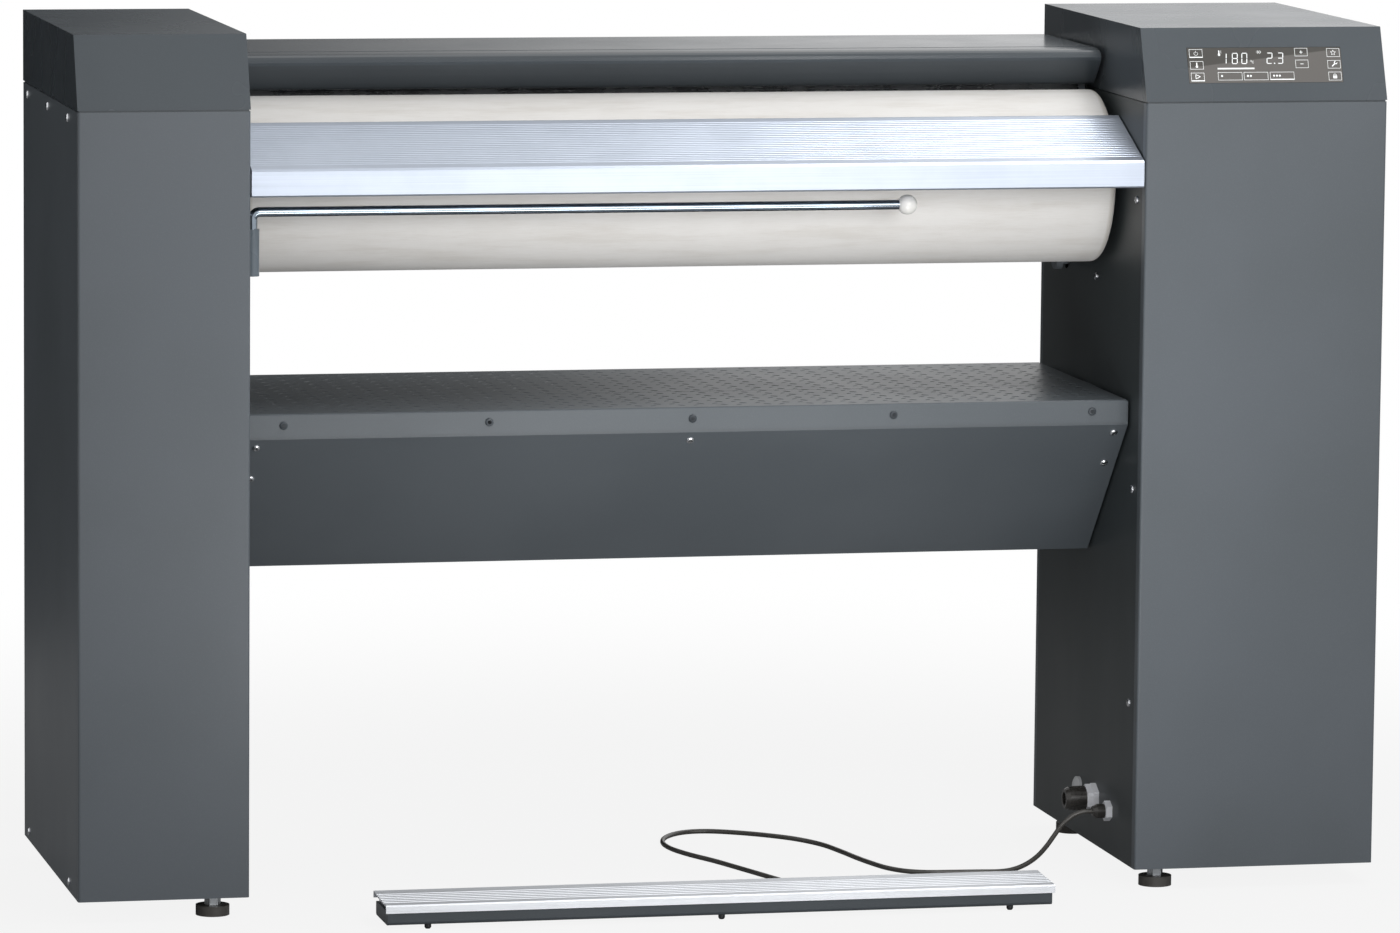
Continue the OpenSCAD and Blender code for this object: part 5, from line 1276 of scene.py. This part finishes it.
    def build(self, finish: Ink) -> None:
        """Draws all figures and lays them on the glass.

        Args:
            finish: the print's finish.
        """
        self.lay_out()
        self._keys()
        self._readings()
        bmesh.ops.recalc_face_normals(self.bm, faces=self.bm.faces[:])
        for face in self.bm.faces:
            if face.normal.z < 0:
                face.normal_flip()
        raised = bmesh.ops.extrude_face_region(self.bm, geom=self.bm.faces[:])["geom"]
        bmesh.ops.translate(self.bm, verts=[g for g in raised if isinstance(g, bmesh.types.BMVert)],
                            vec=(0, 0, self.thick))
        bmesh.ops.translate(self.bm, verts=self.bm.verts[:], vec=(0, 0, self.gap))
        bmesh.ops.transform(self.bm, verts=self.bm.verts[:], matrix=self.slope)
        hand_over("display_print", self.bm, finish, "root", (), 30, False)


@dataclass
class Finishes:
    """The finish of each CAD node that stays.

    Attributes:
        mains_hex: how far the large gland's white hexagon stands out, in metres.
        switch_hex: the same of the small gland.
        pad_rim: the share of a foot's radius past which lies its rubber rim.
        rim_gap: how far above that rim the steel begins, in metres.
    """

    mains_hex: float = 0.0142
    switch_hex: float = 0.0077
    pad_rim: float = 0.9
    rim_gap: float = 0.0002
    paint: Paint = Paint("column_paint", shade("5a6065"), shade("5f656b"), 0.4)
    cap: Paint = Paint("cap_paint", shade("4c5257"), shade("52585d"), 0.27)
    # Column paint darkened as painted shade for the shaded inner panels; the bases take it too.
    dark: Paint = Paint("inner_paint", shade("363c3e"), shade("3c4244"))
    hood: Paint = Paint("hood_paint", shade("444a4f"), shade("4a5055"), 0.2)
    shelf: Paint = Paint("shelf_paint", shade("555b60"), shade("5b6166"), 0.36)
    channel: Paint = Paint("channel_paint", shade("464c51"), shade("4c5257"), 0.36)
    lip: Paint = Paint("lip_screw_paint", shade("3c4146"), shade("4a5056"), 0.35, 900.0)
    grey_coat: Paint = Paint("frame_paint", shade("6e7378"), shade("787d82"), 0.5)
    motor_coat: Paint = Paint("motor_paint", shade("3a4652"), shade("44505c"), 0.45)
    table: Metal = Metal("table_aluminium", shade("b9c1ce"), Run.ALONG_X, 0.36, 0.00001, 1.0, 0.75)
    tread: Metal = Metal("tread_aluminium", shade("f3f6fb"), Run.ALONG_X, 0.44, 0.00002, 1.0, 0.5)
    shoe: Metal = Metal("shoe_aluminium", shade("c9ccd0"), Run.ALONG_X, 0.25)
    # Base colour darker than bare chrome: painted reflection of dark surroundings.
    dark_reflection_chrome: Metal = Metal("rod_chrome", shade("8f9aa5"), Run.ALONG_X, 0.1, 0.000004)
    zinc: Metal = Metal("plated_steel", shade("b9bcc0"), Run.EVEN, 0.28)
    bearing: Metal = Metal("bearing_steel", shade("a8abae"), Run.EVEN, 0.35, 0.00003)
    bronze: Metal = Metal("bush_bronze", shade("a8814f"), Run.ALONG_X, 0.36)
    sheath: Metal = Metal("heater_sheath", shade("8b8580"), Run.ALONG_X, 0.42)
    bright: Metal = Metal("screw_steel", shade("e2e4e8"), Run.EVEN, 0.16, 0.000006)
    socket: Paint = Paint("socket_paint", shade("5c656c"), shade("68727a"), 0.26)
    ball: Plastic = Plastic("ball_plastic", shade("f4f3ef"), 0.28, 900.0, 0.00001)
    black: Plastic = Plastic("black_plastic", shade("1c1e20"), 0.46)
    plug: Plastic = Plastic("plug_plastic", shade("d4d6d8"), 0.45)
    board: Plastic = Plastic("board_laminate", shade("2f5a41"), 0.4, 700.0)
    sheathing: Plastic = Plastic("cable_rubber", shade("464441"), 0.36, 1800.0, 0.00002)
    blanket: WoolFelt = WoolFelt("mineral_blanket", shade("c9c5ba"))
    wool: WoolFelt = WoolFelt("padding_wool", shade("e2ddd0"))
    ink: Ink = Ink("display_ink", (0.9, 0.92, 0.92), 0.35)

    def by_name(self) -> dict[str, Finish]:
        """Gives each node's finish.

        Returns:
            Node names and their finishes.
        """
        foot = TwoPart("levelling_foot", "Z", self.edge("left_front_foot"), (shade("4a4845"), 0.5, 0.0),
                       (shade("b8bcc0"), 0.3, 1.0))
        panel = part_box("right_inner_panel")[0].x
        nut, hexagon = (shade("343230"), 0.26, 0.0), (shade("f4f5fa"), 0.4, 0.0)
        mains = TwoPart("mains_gland", "X", panel - self.mains_hex, nut, hexagon)
        switch = TwoPart("switch_gland", "X", panel - self.switch_hex, nut, hexagon)
        low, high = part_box("display_glass")
        glass = SmokedGlass("display_glass", shade("45433f"), shade("65625f"),
                            low.z + 0.45 * (high.z - low.z) - 0.11 * low.x, 0.11)
        named: dict[str, Finish] = {"display_glass": glass, "mains_gland": mains, "switch_gland": switch}
        for side in ("left", "right"):
            for part in ("front_panel", "rear_panel", "outer_panel"):
                named[f"{side}_{part}"] = self.paint
            # Inner panels take the darker painted-shade copy of the column paint.
            named[f"{side}_inner_panel"] = self.dark
            named[f"{side}_cap"] = self.cap
            named[f"{side}_base"] = self.dark
            named[f"{side}_frame"] = self.grey_coat
            for end in ("front", "rear"):
                named[f"{side}_{end}_foot"] = foot
        groups: tuple[tuple[Finish, str], ...] = (
            (self.hood, "hood_top hood_rear hood_cheeks finger_guard"),
            (self.shelf, "shelf_plate beam_front beam_rear"),
            (self.grey_coat, "cross_tube table_brackets shoe_arms"),
            (self.bearing, "roller_bearings roller_shaft roller_gear drive_pinion"),
            (self.bronze, "pivot_bushes"),
            (self.zinc, "roller_tube actuator_rod tread_springs"),
            (self.table, "feed_table"), (self.tread, "foot_tread"), (self.shoe, "shoe_plate"),
            (self.sheath, "heating_rods"), (self.blanket, "insulation"),
            (self.motor_coat, "gearmotor actuator"), (self.dark_reflection_chrome, "linen_rod"), (self.ball, "rod_ball"),
            (self.socket, "rod_socket"), (self.board, "control_board"),
            (self.black, "control_box bar_switch bar_pads cable_relief"), (self.plug, "blanking_plug"),
            (self.channel, "bar_channel"))
        for finish, names in groups:
            for name in names.split():
                named[name] = finish
        return named

    def edge(self, foot: str) -> float:
        """Finds the height where a foot's rubber pad ends.

        Args:
            foot: the foot's node.

        Returns:
            The height in metres.
        """
        low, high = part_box(foot)
        reach = (high.x - low.x) / 2 * self.pad_rim
        middle = (low + high) / 2
        rim = [v.co.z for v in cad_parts[foot].data.vertices
               if math.hypot(v.co.x - middle.x, v.co.y - middle.y) > reach]
        return max(rim) + self.rim_gap

    def dress(self) -> None:
        """Gives every CAD node its finish."""
        for name, finish in self.by_name().items():
            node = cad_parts[name]
            if not node.material_slots:
                node.data.materials.append(None)
            for place in node.material_slots:
                place.material = RACK.take(finish)
        log.info("dressed %d CAD nodes", len(self.by_name()))


def main() -> None:
    """Builds the studio, the new pieces and the finishes in order."""
    logging.basicConfig(level=logging.INFO, format="%(name)s %(message)s")
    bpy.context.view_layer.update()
    finishes = Finishes()
    studio = Studio()
    studio.set_camera()
    SwitchCable().build(finishes.sheathing)
    studio.light()
    studio.hang_flag()
    studio.lay_floor()
    low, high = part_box("roller_cloth")
    # The third colour is the darker end strip, painted shade where the cover rounds over its ends.
    cotton = RollerCotton("roller_cotton", shade("efedea"), shade("dedad4"), shade("d0cbc3"), high.x - low.x)
    covering = RollerCovering()
    covering.pad(finishes.wool)
    covering.cover(cotton)
    PanHeads().build(finishes.bright, finishes.lip)
    ShelfTread().build(finishes.shelf)
    DisplayPrint().build(finishes.ink)
    finishes.dress()


if __name__ == "__main__":
    main()
